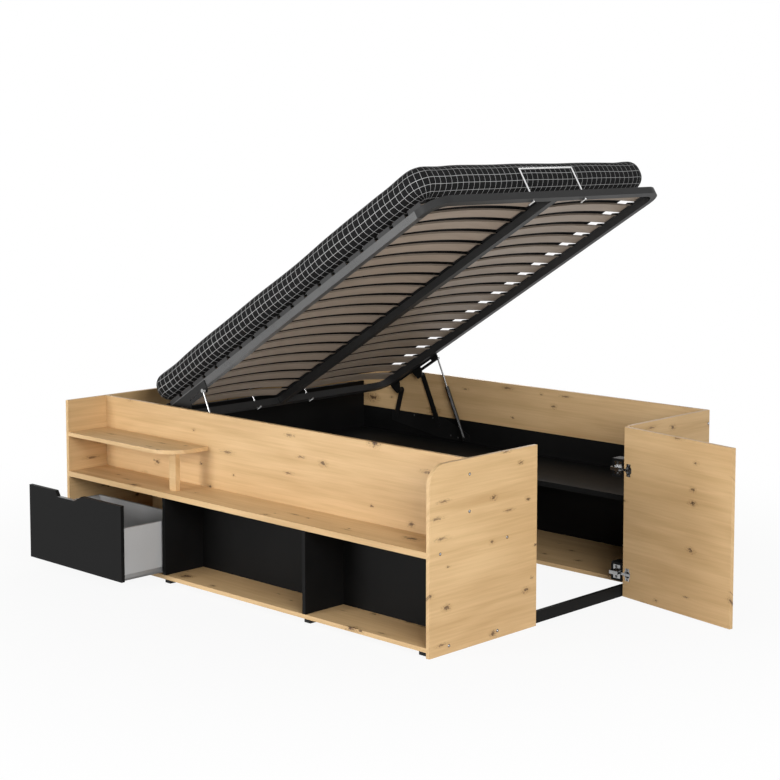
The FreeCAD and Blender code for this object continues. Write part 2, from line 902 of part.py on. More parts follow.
def holder_row(label, corners):
    """One row of slat holders with the given section across the base."""
    row = keep(body(label, True), label)
    face = sketch_on(row, "YZ_Plane", last_slat - holder_width / 2)
    outline(face, corners)
    holder = pad(row, face, holder_width)
    repeat(row, holder, "X_Axis", slat_pitch, slat_count)
    row.Placement = base_place


roof = holder_top - holder_roof
for label, side in (("slat_holders_front", -1), ("slat_holders_rear", 1)):
    outer = side * edge_y
    wall = side * (edge_y - holder_wall)
    lip = side * (edge_y - holder_reach)
    holder_row(
        label,
        [
            (outer, tube),
            (lip, tube),
            (lip, slat_bottom - slat_play / 3),
            (wall, slat_bottom - slat_play / 3),
            (wall, roof),
            (lip, roof),
            (lip, holder_top),
            (outer, holder_top),
        ],
    )
half_wall = holder_wall / 2
holder_row(
    "slat_holders_centre",
    [
        (-holder_reach, tube),
        (holder_reach, tube),
        (holder_reach, slat_bottom - slat_play / 3),
        (half_wall, slat_bottom - slat_play / 3),
        (half_wall, roof),
        (holder_reach, roof),
        (holder_reach, holder_top),
        (-holder_reach, holder_top),
        (-holder_reach, roof),
        (-half_wall, roof),
        (-half_wall, slat_bottom - slat_play / 3),
        (-holder_reach, slat_bottom - slat_play / 3),
    ],
)


# Wire bows that keep the mattress from sliding
def wire_bow(label, offset, place):
    """A bent wire through the end rail with hooked ends under it."""
    radius = bow_wire.value / 2
    x = base_length.value - tube.value / 2
    low = -radius - bow_play.value
    high = bow_top.value
    begin = offset.value - bow_width.value / 2
    top_bar = Part.makeCylinder(radius, bow_width.value, Vector(x, begin, high), Vector(0, 1, 0))
    runs = []
    for y in (begin, begin + bow_width.value):
        heel = Vector(x, y, low)
        runs.append(Part.makeCylinder(radius, high - low, heel, Vector(0, 0, 1)))
        runs.append(Part.makeCylinder(radius, bow_hook.value, heel, Vector(-1, 0, 0)))
        runs.append(Part.makeSphere(radius, heel))
        runs.append(Part.makeSphere(radius, Vector(x, y, high)))
    made = doc.addObject("Part::Feature", label)
    made.Shape = top_bar.multiFuse(runs).removeSplitter()
    made.Placement = place
    keep(made, label)


wire_bow("mattress_bow_foot", bow_offset, base_place)
wire_bow("mattress_bow_head", -bow_offset, base_place.multiply(turned_place))


# Mattress: crowned top, rounded rims, sides drawn in between the corners
def mattress_section(height, inset, waist):
    """A rounded outline whose sides pull in a little."""
    half_x = mattress_length.value / 2 - inset
    half_y = mattress_width.value / 2 - inset
    radius = max(mattress_corner.value - inset, 0.3 * mattress_corner.value)
    middle_x = base_length.value / 2
    edges = []
    quarter = radius * math.sqrt(0.5)
    spots = []
    for sx, sy in ((1, -1), (1, 1), (-1, 1), (-1, -1)):
        centre = Vector(middle_x + sx * (half_x - radius), sy * (half_y - radius), height)
        along_x = centre + Vector(sx * radius, 0, 0)
        along_y = centre + Vector(0, sy * radius, 0)
        knee = centre + Vector(sx * quarter, sy * quarter, 0)
        spots.append((along_y, knee, along_x) if sx * sy < 0 else (along_x, knee, along_y))
    for index, (begin, knee, end) in enumerate(spots):
        edges.append(Part.Arc(begin, knee, end).toShape())
        following = spots[(index + 1) % 4][0]
        middle = (end + following) * 0.5
        inward = Vector(middle_x, 0, height) - middle
        inward.normalize()
        edges.append(Part.Arc(end, middle + inward * waist, following).toShape())
    return Part.Wire(edges)


mattress_length = base_length - tube - bow_wire - 4
rim = mattress_edge.value
thick = mattress_thick.value - mattress_crown.value
waist = mattress_waist.value
low = mattress_bottom.value
sections = []
for step in (0, 45, 90):
    bend = math.radians(step)
    sections.append((low + rim * (1 - math.cos(bend)), rim * (1 - math.sin(bend))))
for step in (90, 45):
    bend = math.radians(step)
    sections.append((low + thick - rim * (1 - math.cos(bend)), rim * (1 - math.sin(bend))))
sections.append((low + thick, rim))
sections.append((low + thick + mattress_crown.value, 6 * rim))
wires = [mattress_section(height, inset, waist) for height, inset in sections]
mattress = doc.addObject("Part::Feature", "mattress")
mattress.Shape = Part.makeLoft(wires, True, True)
mattress.Placement = base_place
keep(mattress, "mattress")


# Lift fitting, the same on both sides of the base
def link(label, length, drilled):
    """A flat bar with round ends and one or two bearing holes."""
    bar = body(label)
    half = link_width.value / 2
    face = sketch_on(bar, "XZ_Plane")
    rectangle(face, (-link_width / 2, -link_width / 2), (link_width / 2 + length, link_width / 2))
    flip = label.endswith("front")
    slab = pad(bar, face, link_thick, flip=flip)
    corners = [Vector(x, 0, z) for x in (-half, length + half) for z in (-half, half)]
    round_edges(bar, slab, Vector(0, 1, 0), corners, link_width * 0.49)
    holes = sketch_on(bar, "XZ_Plane")
    for spot in drilled:
        circle(holes, spot, 0, pin_radius + pin_fit)
    pocket(bar, holes, link_thick, flip=not flip)
    return keep(bar, label)


def post(owner, spots, radius, length, flip):
    """Round bars raised from the body's XZ plane."""
    face = sketch_on(owner, "XZ_Plane")
    for x, z in spots:
        circle(face, x, z, radius)
    pad(owner, face, length, flip=flip)


margin = bracket_margin
lug = margin * 0.8
lug_low = pivot_drop + lug
bar_low = ball_drop + margin * 0.7
tail = bracket_sheet + gas_play + gas_radius - eye_thick / 2 - pivot_play
for side, name in ((-1, "front"), (1, "rear")):
    panel = side_in if side < 0 else rear_in
    toward_panel = side > 0
    rail_y = base_middle + side * base_width / 2
    link_y = panel - side * (plate_sheet + link_play)
    gas_y = rail_y + side * (bracket_sheet + gas_play + gas_radius)
    play = side_in.value - rail_y.value if side < 0 else rear_in.value - rail_y.value
    spare = abs(play) - plate_sheet.value - link_play.value - link_thick.value

    mount = keep(body(f"lift_plate_{name}"), f"lift_plate_{name}")
    face = sketch_on(mount, "XZ_Plane")
    outline(
        face,
        [
            (short_pin.x - plate_end, short_pin.z - plate_low),
            (long_pin.x, gas_pin.z - plate_foot),
            (gas_pin.x + plate_nose, gas_pin.z - plate_foot),
            (gas_pin.x + plate_nose, gas_pin.z + plate_nose),
            (long_pin.x + plate_step, short_pin.z + plate_high),
            (short_pin.x - plate_end, short_pin.z + plate_high),
        ],
    )
    pad(mount, face, plate_sheet, flip=not toward_panel)
    pins = [(short_pin.x, short_pin.z), (long_pin.x, long_pin.z)]
    pin_length = plate_sheet + link_play + link_thick + 1
    post(mount, pins, pin_radius, pin_length, not toward_panel)
    gas_depth = abs(play) - bracket_sheet.value - gas_play.value - gas_radius.value
    gas_length = gas_depth + eye_thick / 2 + 1
    post(mount, [(gas_pin.x, gas_pin.z)], rod_radius, gas_length, not toward_panel)
    bind(mount, "Placement.Base.y", panel)

    short = link(f"short_link_{name}", short_link.value, (0, short_link))
    turn = Rotation(Vector(0, 1, 0), -short_open.value)
    short.Placement = Placement(short_pin + Vector(0, link_y.value, 0), turn)
    long = link(f"long_link_{name}", long_link, (0,))
    turn = Rotation(Vector(0, 1, 0), -long_open.value)
    long.Placement = Placement(long_pin + Vector(0, link_y.value, 0), turn)

    bracket = keep(body(f"lift_bracket_{name}"), f"lift_bracket_{name}")
    face = sketch_on(bracket, "XZ_Plane")
    second = pivot_from_head + pivot_pitch
    ball = pivot_from_head + ball_along
    outline(
        face,
        [
            (pivot_from_head - 2 * margin, tube * 0.8),
            (ball + margin, tube * 0.8),
            (ball + margin, -ball_drop),
            (ball + margin / 2, -bar_low),
            (second + 2 * margin, -bar_low),
            (second + lug, -lug_low),
            (second - lug, -lug_low),
            (second - 2 * margin, -bracket_strip),
            (pivot_from_head + 2 * margin, -bracket_strip),
            (pivot_from_head + lug, -lug_low),
            (pivot_from_head - lug, -lug_low),
            (pivot_from_head - 2 * margin, -bracket_strip),
        ],
    )
    pad(bracket, face, bracket_sheet, flip=toward_panel)
    slot = sketch_on(bracket, "XZ_Plane")
    rectangle(
        slot,
        (second + 2 * margin, -ball_drop + bracket_strip / 2),
        (ball - 2 * margin, -bracket_strip),
    )
    pocket(bracket, slot, bracket_sheet, flip=not toward_panel)
    pivots = [(pivot_from_head, -pivot_drop), (second, -pivot_drop)]
    post(bracket, pivots, boss_radius, spare - pivot_play.value, toward_panel)
    through = spare + link_thick + link_play * 0.5
    post(bracket, pivots[:1], pin_radius, through, toward_panel)
    post(bracket, [(ball, -ball_drop)], pin_radius, tail, toward_panel)
    spot = base_place.multVec(Vector(0, side * base_width.value / 2, 0))
    bracket.Placement = Placement(spot, tilt)

    lean = math.degrees(math.atan2(ball_open.x - gas_pin.x, ball_open.z - gas_pin.z))
    strut_place = Placement(
        gas_pin + Vector(0, gas_y.value, 0), Rotation(Vector(0, 1, 0), lean)
    )
    cylinder = keep(body(f"gas_cylinder_{name}"), f"gas_cylinder_{name}")
    barrel_top = gas_open - rod_shown
    wall = sketch_on(cylinder, "XZ_Plane")
    bore = rod_radius + pin_fit
    seat = 2 * rod_radius
    outline(
        wall,
        [
            (0, seat),
            (gas_radius, seat),
            (gas_radius, barrel_top - 3),
            (gas_radius - 2, barrel_top),
            (bore, barrel_top),
            (bore, 2.5 * seat),
            (0, 2.5 * seat),
        ],
    )
    revolve(cylinder, wall)
    eye = sketch_on(cylinder, "XZ_Plane")
    circle(eye, 0, 0, gas_radius)
    pad(cylinder, eye, eye_thick, both=True)
    hole = sketch_on(cylinder, "XZ_Plane")
    circle(hole, 0, 0, rod_radius + pin_fit)
    pocket(cylinder, hole, 2 * eye_thick, both=True)
    cylinder.Placement = strut_place

    rod = keep(body(f"gas_rod_{name}"), f"gas_rod_{name}")
    stem = sketch_on(rod, "XZ_Plane")
    outline(
        stem,
        [
            (0, barrel_top - rod_inside),
            (rod_radius, barrel_top - rod_inside),
            (rod_radius, gas_open),
            (0, gas_open),
        ],
    )
    revolve(rod, stem)
    cap = sketch_on(rod, "XZ_Plane")
    circle(cap, 0, gas_open, 2 * rod_radius)
    pad(rod, cap, eye_thick, both=True)
    rod.Placement = strut_place

doc.recompute()
for thing in doc.Objects:
    if "Invalid" in thing.State or "Error" in thing.State:
        raise SystemExit(f"{thing.Name} did not build: {thing.State}")
os.makedirs("parts", exist_ok=True)
for node in nodes:
    if node.Shape.isNull() or not node.Shape.isValid():
        raise SystemExit(f"{node.Label} has no sound shape")
    node.Shape.exportStep(f"parts/{node.Label}.step")

short_turn = short_closed.value - short_open.value
long_turn = heading(second_closed - long_pin) - long_open.value
gas_turn = heading(ball_closed - gas_pin) - heading(ball_open - gas_pin)
gas_stroke = (ball_closed - gas_pin).Length - gas_open.value
print("pieces", len(nodes))
print("short pin", short_pin, "pivot", pivot_open, "long pin", long_pin, "long link", long_link)
print("gas pin", gas_pin, "ball", ball_open, "pole", pole, "base", base_place.Base)
print("turns", short_turn, long_turn, gas_turn, "stroke", gas_stroke)
print("closed pivot", pivot_closed, "closed ball", ball_closed)
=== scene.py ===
# %% [markdown]
# # A storage bed with its base lifted
# The bed is a low chest of oak-look boards with open bays, a drawer and a door at the foot.
# Its slatted base swings up on two link pairs and gas springs and carries a thin mattress.
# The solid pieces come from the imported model. This lesson adds finishes, light, camera and the soft mattress.

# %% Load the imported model
import json
import math

import bmesh
import bpy
import numpy as np
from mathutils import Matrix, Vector


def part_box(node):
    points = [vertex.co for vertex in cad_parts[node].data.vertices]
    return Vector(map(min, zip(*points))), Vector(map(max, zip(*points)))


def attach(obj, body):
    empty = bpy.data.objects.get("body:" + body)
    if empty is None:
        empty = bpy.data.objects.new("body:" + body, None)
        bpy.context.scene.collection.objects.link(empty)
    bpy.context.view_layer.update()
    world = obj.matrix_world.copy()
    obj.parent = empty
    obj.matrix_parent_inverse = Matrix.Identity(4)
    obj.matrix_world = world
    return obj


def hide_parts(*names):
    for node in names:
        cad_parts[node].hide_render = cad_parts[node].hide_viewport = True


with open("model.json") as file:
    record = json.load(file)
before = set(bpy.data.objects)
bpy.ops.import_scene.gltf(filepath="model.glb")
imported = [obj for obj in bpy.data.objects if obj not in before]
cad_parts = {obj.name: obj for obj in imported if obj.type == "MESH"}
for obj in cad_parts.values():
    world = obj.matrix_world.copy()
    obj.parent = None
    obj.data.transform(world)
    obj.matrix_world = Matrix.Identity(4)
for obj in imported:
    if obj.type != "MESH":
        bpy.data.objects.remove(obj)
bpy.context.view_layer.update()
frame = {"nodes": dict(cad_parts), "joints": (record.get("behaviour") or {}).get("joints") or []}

nodes = frame["nodes"]
scene = bpy.context.scene
scene.view_settings.view_transform = "Standard"

# %% [markdown]
# ## Directions of the lifted base
# The slatted base is lifted out of the level, so the slats and the mattress use the base's own directions:
# along it, across it, and up from it. The rails at its head and foot are alike, so the line between
# their middles gives the way along, and no angle has to be typed.


# %% The base's own directions
def middle_of(name):
    low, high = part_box(name)
    return (low + high) / 2


base_point = middle_of("head_rail")
base_along = (middle_of("foot_rail") - base_point).normalized()
base_up = base_along.cross(Vector((0, 1, 0)))
print("base tilt:", round(math.degrees(math.asin(base_along.z)), 2), "degrees")

# %% [markdown]
# ## The camera
# The place, aim and focal length were solved from the straight edges of the boards.
# The photograph keeps upright edges nearly parallel, which a lens shifted downwards gives without much tilt.

# %% Camera at the photograph's viewing angle
eye = Vector((6.16258, -5.21860, 1.84166))
heading = 2.34138
downward = 0.09641
focal_pixels = 1762.77
frame_pixels = 780

lens = bpy.data.cameras.new("photo_lens")
lens.sensor_width = 36.0
lens.lens = focal_pixels / frame_pixels * lens.sensor_width
lens.shift_y = -0.12
lens.clip_end = 200.0
camera = bpy.data.objects.new("photo_camera", lens)
scene.collection.objects.link(camera)
aim = Vector(
    (math.cos(downward) * math.cos(heading), math.cos(downward) * math.sin(heading), -math.sin(downward))
)
camera.location = eye
camera.rotation_mode = "QUATERNION"
camera.rotation_quaternion = aim.to_track_quat("-Z", "Y")
scene.camera = camera
print("lens:", round(lens.lens, 2), "mm")

# %% [markdown]
# ## Helpers for shader nodes
# A material is a small network. A few helpers keep each network readable: they add a node and join its
# inputs, do arithmetic on sockets, blend two colours, fade a value out over a distance, and start a group.


# %% Node helpers
def add_node(tree, kind, inputs=None, **settings):
    made = tree.nodes.new(kind)
    for name, value in settings.items():
        setattr(made, name, value)
    for key, value in (inputs or {}).items():
        if isinstance(value, bpy.types.NodeSocket):
            tree.links.new(value, made.inputs[key])
        else:
            made.inputs[key].default_value = value
    return made


def calc(tree, operation, first, second=0.0, third=0.0, clamp=False):
    made = add_node(tree, "ShaderNodeMath", {0: first, 1: second, 2: third}, operation=operation)
    made.use_clamp = clamp
    return made.outputs[0]


def blend_colours(tree, share, first, second):
    made = add_node(tree, "ShaderNodeMix", data_type="RGBA")
    for socket, value in ((made.inputs[0], share), (made.inputs[6], first), (made.inputs[7], second)):
        if isinstance(value, bpy.types.NodeSocket):
            tree.links.new(value, socket)
        else:
            socket.default_value = value
    return made.outputs[2]


def ramp_down(tree, value, near, far):
    made = add_node(
        tree,
        "ShaderNodeMapRange",
        {"Value": value, "From Min": near, "From Max": far, "To Min": 1.0, "To Max": 0.0},
        interpolation_type="SMOOTHSTEP",
    )
    return made.outputs["Result"]


def start_group(name, inputs, outputs):
    tree = bpy.data.node_groups.new(name, "ShaderNodeTree")
    for label, kind, start in inputs:
        socket = tree.interface.new_socket(label, in_out="INPUT", socket_type=kind)
        if start is not None:
            socket.default_value = start
    for label, kind in outputs:
        tree.interface.new_socket(label, in_out="OUTPUT", socket_type=kind)
    return tree, add_node(tree, "NodeGroupInput").outputs, add_node(tree, "NodeGroupOutput")


FLOAT, COLOUR, POINT = "NodeSocketFloat", "NodeSocketColor", "NodeSocketVector"
print("node helpers ready")

# %% [markdown]
# ## The oak figure
# The boards carry a printed oak face: long pale streaks, a darker cathedral figure, dark knots
# and short cracks. One group draws it from two numbers, the place along the grain and the place across it,
# so every board can turn the grain its own way and shift to its own stretch of the figure.


# %% Shader group: oak_figure
oak_figure, given, result = start_group(
    "oak_figure",
    [
        ("Along", FLOAT, 0.0),
        ("Across", FLOAT, 0.0),
        ("Shift", FLOAT, 0.0),
        ("Light", COLOUR, (0.8, 0.6, 0.4, 1)),
        ("Dark", COLOUR, (0.5, 0.35, 0.2, 1)),
        ("Knot", COLOUR, (0.1, 0.05, 0.02, 1)),
        ("Knots", FLOAT, 0.5),
    ],
    [("Color", COLOUR), ("Roughness", FLOAT), ("Height", FLOAT)],
)


def grain_point(along_scale, across_scale, extra):
    along = calc(oak_figure, "MULTIPLY", given["Along"], along_scale)
    across = calc(oak_figure, "MULTIPLY", given["Across"], across_scale)
    depth = calc(oak_figure, "MULTIPLY_ADD", given["Shift"], 1.7, extra)
    return add_node(oak_figure, "ShaderNodeCombineXYZ", {0: along, 1: across, 2: depth}).outputs[0]


def grain_noise(along_scale, across_scale, extra, detail, distortion=0.0):
    made = add_node(
        oak_figure,
        "ShaderNodeTexNoise",
        {
            "Vector": grain_point(along_scale, across_scale, extra),
            "Scale": 1.0,
            "Detail": detail,
            "Roughness": 0.58,
            "Distortion": distortion,
        },
    )
    return made.outputs["Fac"]


streak = grain_noise(1.3, 26.0, 0.0, 5.0, 0.5)
lines = grain_noise(3.4, 110.0, 5.0, 3.0)
fibre = grain_noise(9.0, 430.0, 3.0, 2.0)
cloud = grain_noise(1.5, 3.4, 7.0, 2.0)
warp = grain_noise(1.2, 2.6, 11.0, 2.0)
turns = calc(oak_figure, "MULTIPLY_ADD", warp, 26.0, calc(oak_figure, "MULTIPLY", given["Across"], 60.0))
rings = calc(oak_figure, "MULTIPLY_ADD", calc(oak_figure, "SINE", turns), 0.5, 0.5)
tone = 0.0
for figure_part, weight in ((streak, 0.34), (lines, 0.23), (cloud, 0.30), (fibre, 0.08), (rings, 0.05)):
    tone = calc(oak_figure, "MULTIPLY_ADD", figure_part, weight, tone)
tone = add_node(
    oak_figure, "ShaderNodeMapRange", {"Value": tone, "From Min": 0.40, "From Max": 0.635}
).outputs["Result"]
print("oak figure: streaks, clouds, fibres and rings")

# %% [markdown]
# A knot is a small dark core with a browner ring, and no two are alike. A Voronoi pattern drops one point
# in each cell of a stretched grid, a random draw decides whether a knot grows there and how large it gets,
# and noise pushes its edge about. Grit then eats into the core and scatters specks over the ring.

# %% Knots and cracks for the oak figure
grit = grain_noise(150.0, 330.0, 13.0, 2.0)


def spots(along_scale, across_scale, extra, share, least, most):
    """Scattered spots on a stretched grid: their core, and the ring around it."""
    jitter_along = grain_noise(along_scale * 16, across_scale * 16, extra + 4, 4.0)
    jitter_across = grain_noise(along_scale * 16, across_scale * 16, extra + 2, 4.0)
    slide = calc(oak_figure, "MULTIPLY_ADD", given["Shift"], 3.1, extra)
    along = calc(oak_figure, "MULTIPLY_ADD", given["Along"], along_scale, slide)
    along = calc(oak_figure, "MULTIPLY_ADD", jitter_along, 0.14, along)
    across = calc(oak_figure, "MULTIPLY_ADD", given["Across"], across_scale, slide)
    across = calc(oak_figure, "MULTIPLY_ADD", jitter_across, 0.16, across)
    place = add_node(oak_figure, "ShaderNodeCombineXYZ", {0: along, 1: across}).outputs[0]
    cells = add_node(
        oak_figure, "ShaderNodeTexVoronoi", {"Vector": place, "Scale": 1.0}, voronoi_dimensions="2D"
    )
    draw = add_node(oak_figure, "ShaderNodeSeparateColor", {0: cells.outputs["Color"]}).outputs
    there = calc(oak_figure, "LESS_THAN", draw[0], share)
    radius = calc(oak_figure, "MULTIPLY_ADD", draw[1], most - least, least)
    inner = calc(oak_figure, "MULTIPLY", radius, 0.65)
    outer = calc(oak_figure, "MULTIPLY", radius, 2.7)
    far = cells.outputs["Distance"]
    core = calc(oak_figure, "MULTIPLY", ramp_down(oak_figure, far, inner, radius), there)
    halo = calc(oak_figure, "MULTIPLY", ramp_down(oak_figure, far, radius, outer), there)
    return core, halo


few = calc(oak_figure, "MULTIPLY", given["Knots"], 0.6)
knot_core, knot_halo = spots(2.1, 3.6, 0.0, few, 0.024, 0.052)
pip_core, pip_halo = spots(4.2, 7.5, 9.0, given["Knots"], 0.024, 0.060)
crack_core, crack_halo = spots(3.0, 14.0, 5.0, few, 0.03, 0.08)
print("knots, pips and cracks drawn")

# %% Colour, roughness and height of the oak figure
mark = calc(oak_figure, "MAXIMUM", knot_core, calc(oak_figure, "MULTIPLY", crack_core, 0.7))
mark = calc(oak_figure, "MAXIMUM", mark, calc(oak_figure, "MULTIPLY", pip_core, 0.85))
ring = calc(oak_figure, "MAXIMUM", knot_halo, calc(oak_figure, "MULTIPLY", crack_halo, 0.5))
ring = calc(oak_figure, "MAXIMUM", ring, calc(oak_figure, "MULTIPLY", pip_halo, 0.6))
whole_share = calc(oak_figure, "SUBTRACT", 1.0, ramp_down(oak_figure, grit, 0.30, 0.45))
speck_share = calc(oak_figure, "SUBTRACT", 1.0, ramp_down(oak_figure, grit, 0.55, 0.62))
specks = calc(oak_figure, "MULTIPLY", calc(oak_figure, "MULTIPLY", ring, speck_share), 0.9)
mark = calc(oak_figure, "MAXIMUM", calc(oak_figure, "MULTIPLY", mark, whole_share), specks)
shade = calc(oak_figure, "MULTIPLY_ADD", ring, 0.55, tone, clamp=True)
plain = blend_colours(oak_figure, shade, given["Light"], given["Dark"])
marked = blend_colours(oak_figure, mark, plain, given["Knot"])
rough = calc(oak_figure, "MULTIPLY_ADD", streak, 0.16, 0.40)
height = calc(oak_figure, "SUBTRACT", calc(oak_figure, "MULTIPLY", fibre, 0.5), mark)
oak_figure.links.new(marked, result.inputs["Color"])
oak_figure.links.new(rough, result.inputs["Roughness"])
oak_figure.links.new(height, result.inputs["Height"])
print("oak_figure has", len(oak_figure.nodes), "nodes")

# %% [markdown]
# ## A fine speckle for plain faces
# Black laminate, coated steel and moulded plastic look plain from afar, but each has a fine grain in tone
# and gloss. One group gives that grain, and each finish sets its own scale, tones and gloss.

# %% Shader group: fine_speckle
fine_speckle, given_speckle, speckle_result = start_group(
    "fine_speckle",
    [
        ("Vector", POINT, None),
        ("Scale", FLOAT, 300.0),
        ("Deep", COLOUR, (0.02, 0.02, 0.02, 1)),
        ("Pale", COLOUR, (0.03, 0.03, 0.03, 1)),
        ("Least rough", FLOAT, 0.4),
        ("Most rough", FLOAT, 0.6),
    ],
    [("Color", COLOUR), ("Roughness", FLOAT), ("Height", FLOAT)],
)
speck = add_node(
    fine_speckle,
    "ShaderNodeTexNoise",
    {"Vector": given_speckle["Vector"], "Scale": given_speckle["Scale"], "Detail": 3.0, "Roughness": 0.6},
).outputs["Fac"]
drift = add_node(
    fine_speckle,
    "ShaderNodeTexNoise",
    {"Vector": given_speckle["Vector"], "Scale": 5.0, "Detail": 2.0},
).outputs["Fac"]
mixed = calc(fine_speckle, "MULTIPLY_ADD", drift, 0.5, calc(fine_speckle, "MULTIPLY", speck, 0.5))
even = add_node(
    fine_speckle, "ShaderNodeMapRange", {"Value": mixed, "From Min": 0.3, "From Max": 0.7}
).outputs["Result"]
gloss = add_node(
    fine_speckle,
    "ShaderNodeMapRange",
    {"Value": even, "To Min": given_speckle["Least rough"], "To Max": given_speckle["Most rough"]},
).outputs["Result"]
tint = blend_colours(fine_speckle, even, given_speckle["Deep"], given_speckle["Pale"])
fine_speckle.links.new(tint, speckle_result.inputs["Color"])
fine_speckle.links.new(gloss, speckle_result.inputs["Roughness"])
fine_speckle.links.new(speck, speckle_result.inputs["Height"])
print("fine_speckle has", len(fine_speckle.nodes), "nodes")

# %% [markdown]
# ## Wood finishes
# Each oak board has its own material, because the grain runs the long way of every board:
# along the bed for shelves and sides, across it for the head and foot, and along the open door.
# The sprung slats use the same figure in a greyer birch tone and without knots. Their cut edges are darker,
# partly their own tone and mostly painted shade for the narrow gaps between the slats,
# so their material also looks at which way a face points.


# %% Make one wood material
def start_material(name):
    made = bpy.data.materials.new(name)
    made.use_nodes = True
    tree = made.node_tree
    return made, tree, tree.nodes["Principled BSDF"]


def wood_material(name, turn, shift, light, dark, knot, knots, bump_depth):
    made, tree, surface = start_material(name)
    place = add_node(tree, "ShaderNodeTexCoord").outputs["Object"]
    turned = add_node(tree, "ShaderNodeMapping", {"Vector": place, "Rotation": (0.0, 0.0, turn)}).outputs[0]
    axes = add_node(tree, "ShaderNodeSeparateXYZ", {0: turned}).outputs
    across = calc(tree, "ADD", axes[1], axes[2])
    figure = add_node(
        tree,
        "ShaderNodeGroup",
        {
            "Along": axes[0],
            "Across": across,
            "Shift": shift,
            "Light": light,
            "Dark": dark,
            "Knot": knot,
            "Knots": knots,
        },
        node_tree=oak_figure,
    ).outputs
    relief = add_node(
        tree, "ShaderNodeBump", {"Strength": 0.25, "Distance": bump_depth, "Height": figure["Height"]}
    )
    tree.links.new(figure["Color"], surface.inputs["Base Color"])
    tree.links.new(figure["Roughness"], surface.inputs["Roughness"])
    tree.links.new(relief.outputs["Normal"], surface.inputs["Normal"])
    surface.inputs["Specular IOR Level"].default_value = 0.35
    return made


def finish_node(name, material):
    mesh = nodes[name].data
    mesh.materials.clear()
    mesh.materials.append(material)


OAK_LIGHT = (0.700, 0.480, 0.248, 1)
OAK_DARK = (0.530, 0.337, 0.155, 1)
OAK_KNOT = (0.085, 0.042, 0.020, 1)
print("wood helper ready")

# %% Dress the oak boards
along_bed = 0.0
across_bed = math.radians(-90)
along_door = math.radians(10)
oak_boards = {
    "side_panel_front": along_bed,
    "side_panel_rear": along_bed,
    "long_shelf": along_bed,
    "cabinet_floor": along_bed,
    "rear_cabinet_floor": along_bed,
    "drawer_bay_back": along_bed,
    "bedside_shelf": along_bed,
    "shelf_post": along_bed,
    "head_panel": across_bed,
    "foot_panel_front": across_bed,
    "foot_panel_rear": across_bed,
    "door_panel": along_door,
}
oak_knots = 0.55
for count, (name, turn) in enumerate(oak_boards.items()):
    own_stretch = 4.3 * count + 2.1
    board_oak = wood_material(
        f"oak_{name}", turn, own_stretch, OAK_LIGHT, OAK_DARK, OAK_KNOT, oak_knots, bump_depth=0.0006
    )
    finish_node(name, board_oak)
print("oak boards:", len(oak_boards))

# %% Dress the slats
slat_light = (0.47, 0.385, 0.31, 1)
slat_dark = (0.36, 0.29, 0.23, 1)
# Painted shade: a darker colour for the slats' cut edges, which lie in the shaded gaps between slats
slat_edge_shade = (0.20, 0.16, 0.125, 1)
no_knots = 0.0
birch = wood_material(
    "slat_birch", across_bed, 2.0, slat_light, slat_dark, slat_dark, no_knots, bump_depth=0.0004
)
slat_tree = birch.node_tree
slat_surface = slat_tree.nodes["Principled BSDF"]
slat_face = slat_surface.inputs["Base Color"].links[0].from_socket
outward = add_node(slat_tree, "ShaderNodeTexCoord").outputs["Normal"]
cut_edge = add_node(
    slat_tree, "ShaderNodeVectorMath", {0: outward, 1: base_along}, operation="DOT_PRODUCT"
).outputs["Value"]
# Faces pointing along the base take the edge colour: mostly painted shade, partly the cut edge's own tone
edge_shade_share = calc(slat_tree, "GREATER_THAN", calc(slat_tree, "ABSOLUTE", cut_edge), 0.7)
slat_colour = blend_colours(slat_tree, edge_shade_share, slat_face, slat_edge_shade)
slat_tree.links.new(slat_colour, slat_surface.inputs["Base Color"])
for name in ("slats_front", "slats_rear"):
    finish_node(name, birch)
print("slats dressed in", birch.name)

# %% [markdown]
# ## Plain finishes
# The rest of the chest is black or grey laminate, the base is coated tube, and the fittings are bright or
# black metal. All of them read the speckle group at their own scale. The rails share one coat in two copies:
# a paler one on the front rail is painted light, and a darker one on the other rails is painted shade.


# %% Make one speckled material
def plain_material(name, scale, tones, gloss, metal=0.0, coat=0.0, bump=0.1, shine=0.3):
    """A speckled finish. Its tones and its roughness each run from a least to a most."""
    made, tree, surface = start_material(name)
    place = add_node(tree, "ShaderNodeTexCoord").outputs["Object"]
    deep, pale = ((level, level, level, 1) for level in tones)
    speckle = add_node(
        tree,
        "ShaderNodeGroup",
        {
            "Vector": place,
            "Scale": scale,
            "Deep": deep,
            "Pale": pale,
            "Least rough": gloss[0],
            "Most rough": gloss[1],
        },
        node_tree=fine_speckle,
    ).outputs
    relief = add_node(
        tree, "ShaderNodeBump", {"Strength": bump, "Distance": 0.0004, "Height": speckle["Height"]}
    )
    tree.links.new(speckle["Color"], surface.inputs["Base Color"])
    tree.links.new(speckle["Roughness"], surface.inputs["Roughness"])
    tree.links.new(relief.outputs["Normal"], surface.inputs["Normal"])
    surface.inputs["Metallic"].default_value = metal
    surface.inputs["Coat Weight"].default_value = coat
    surface.inputs["Coat Roughness"].default_value = 0.12
    surface.inputs["Specular IOR Level"].default_value = shine
    return made


print("speckled helper ready")

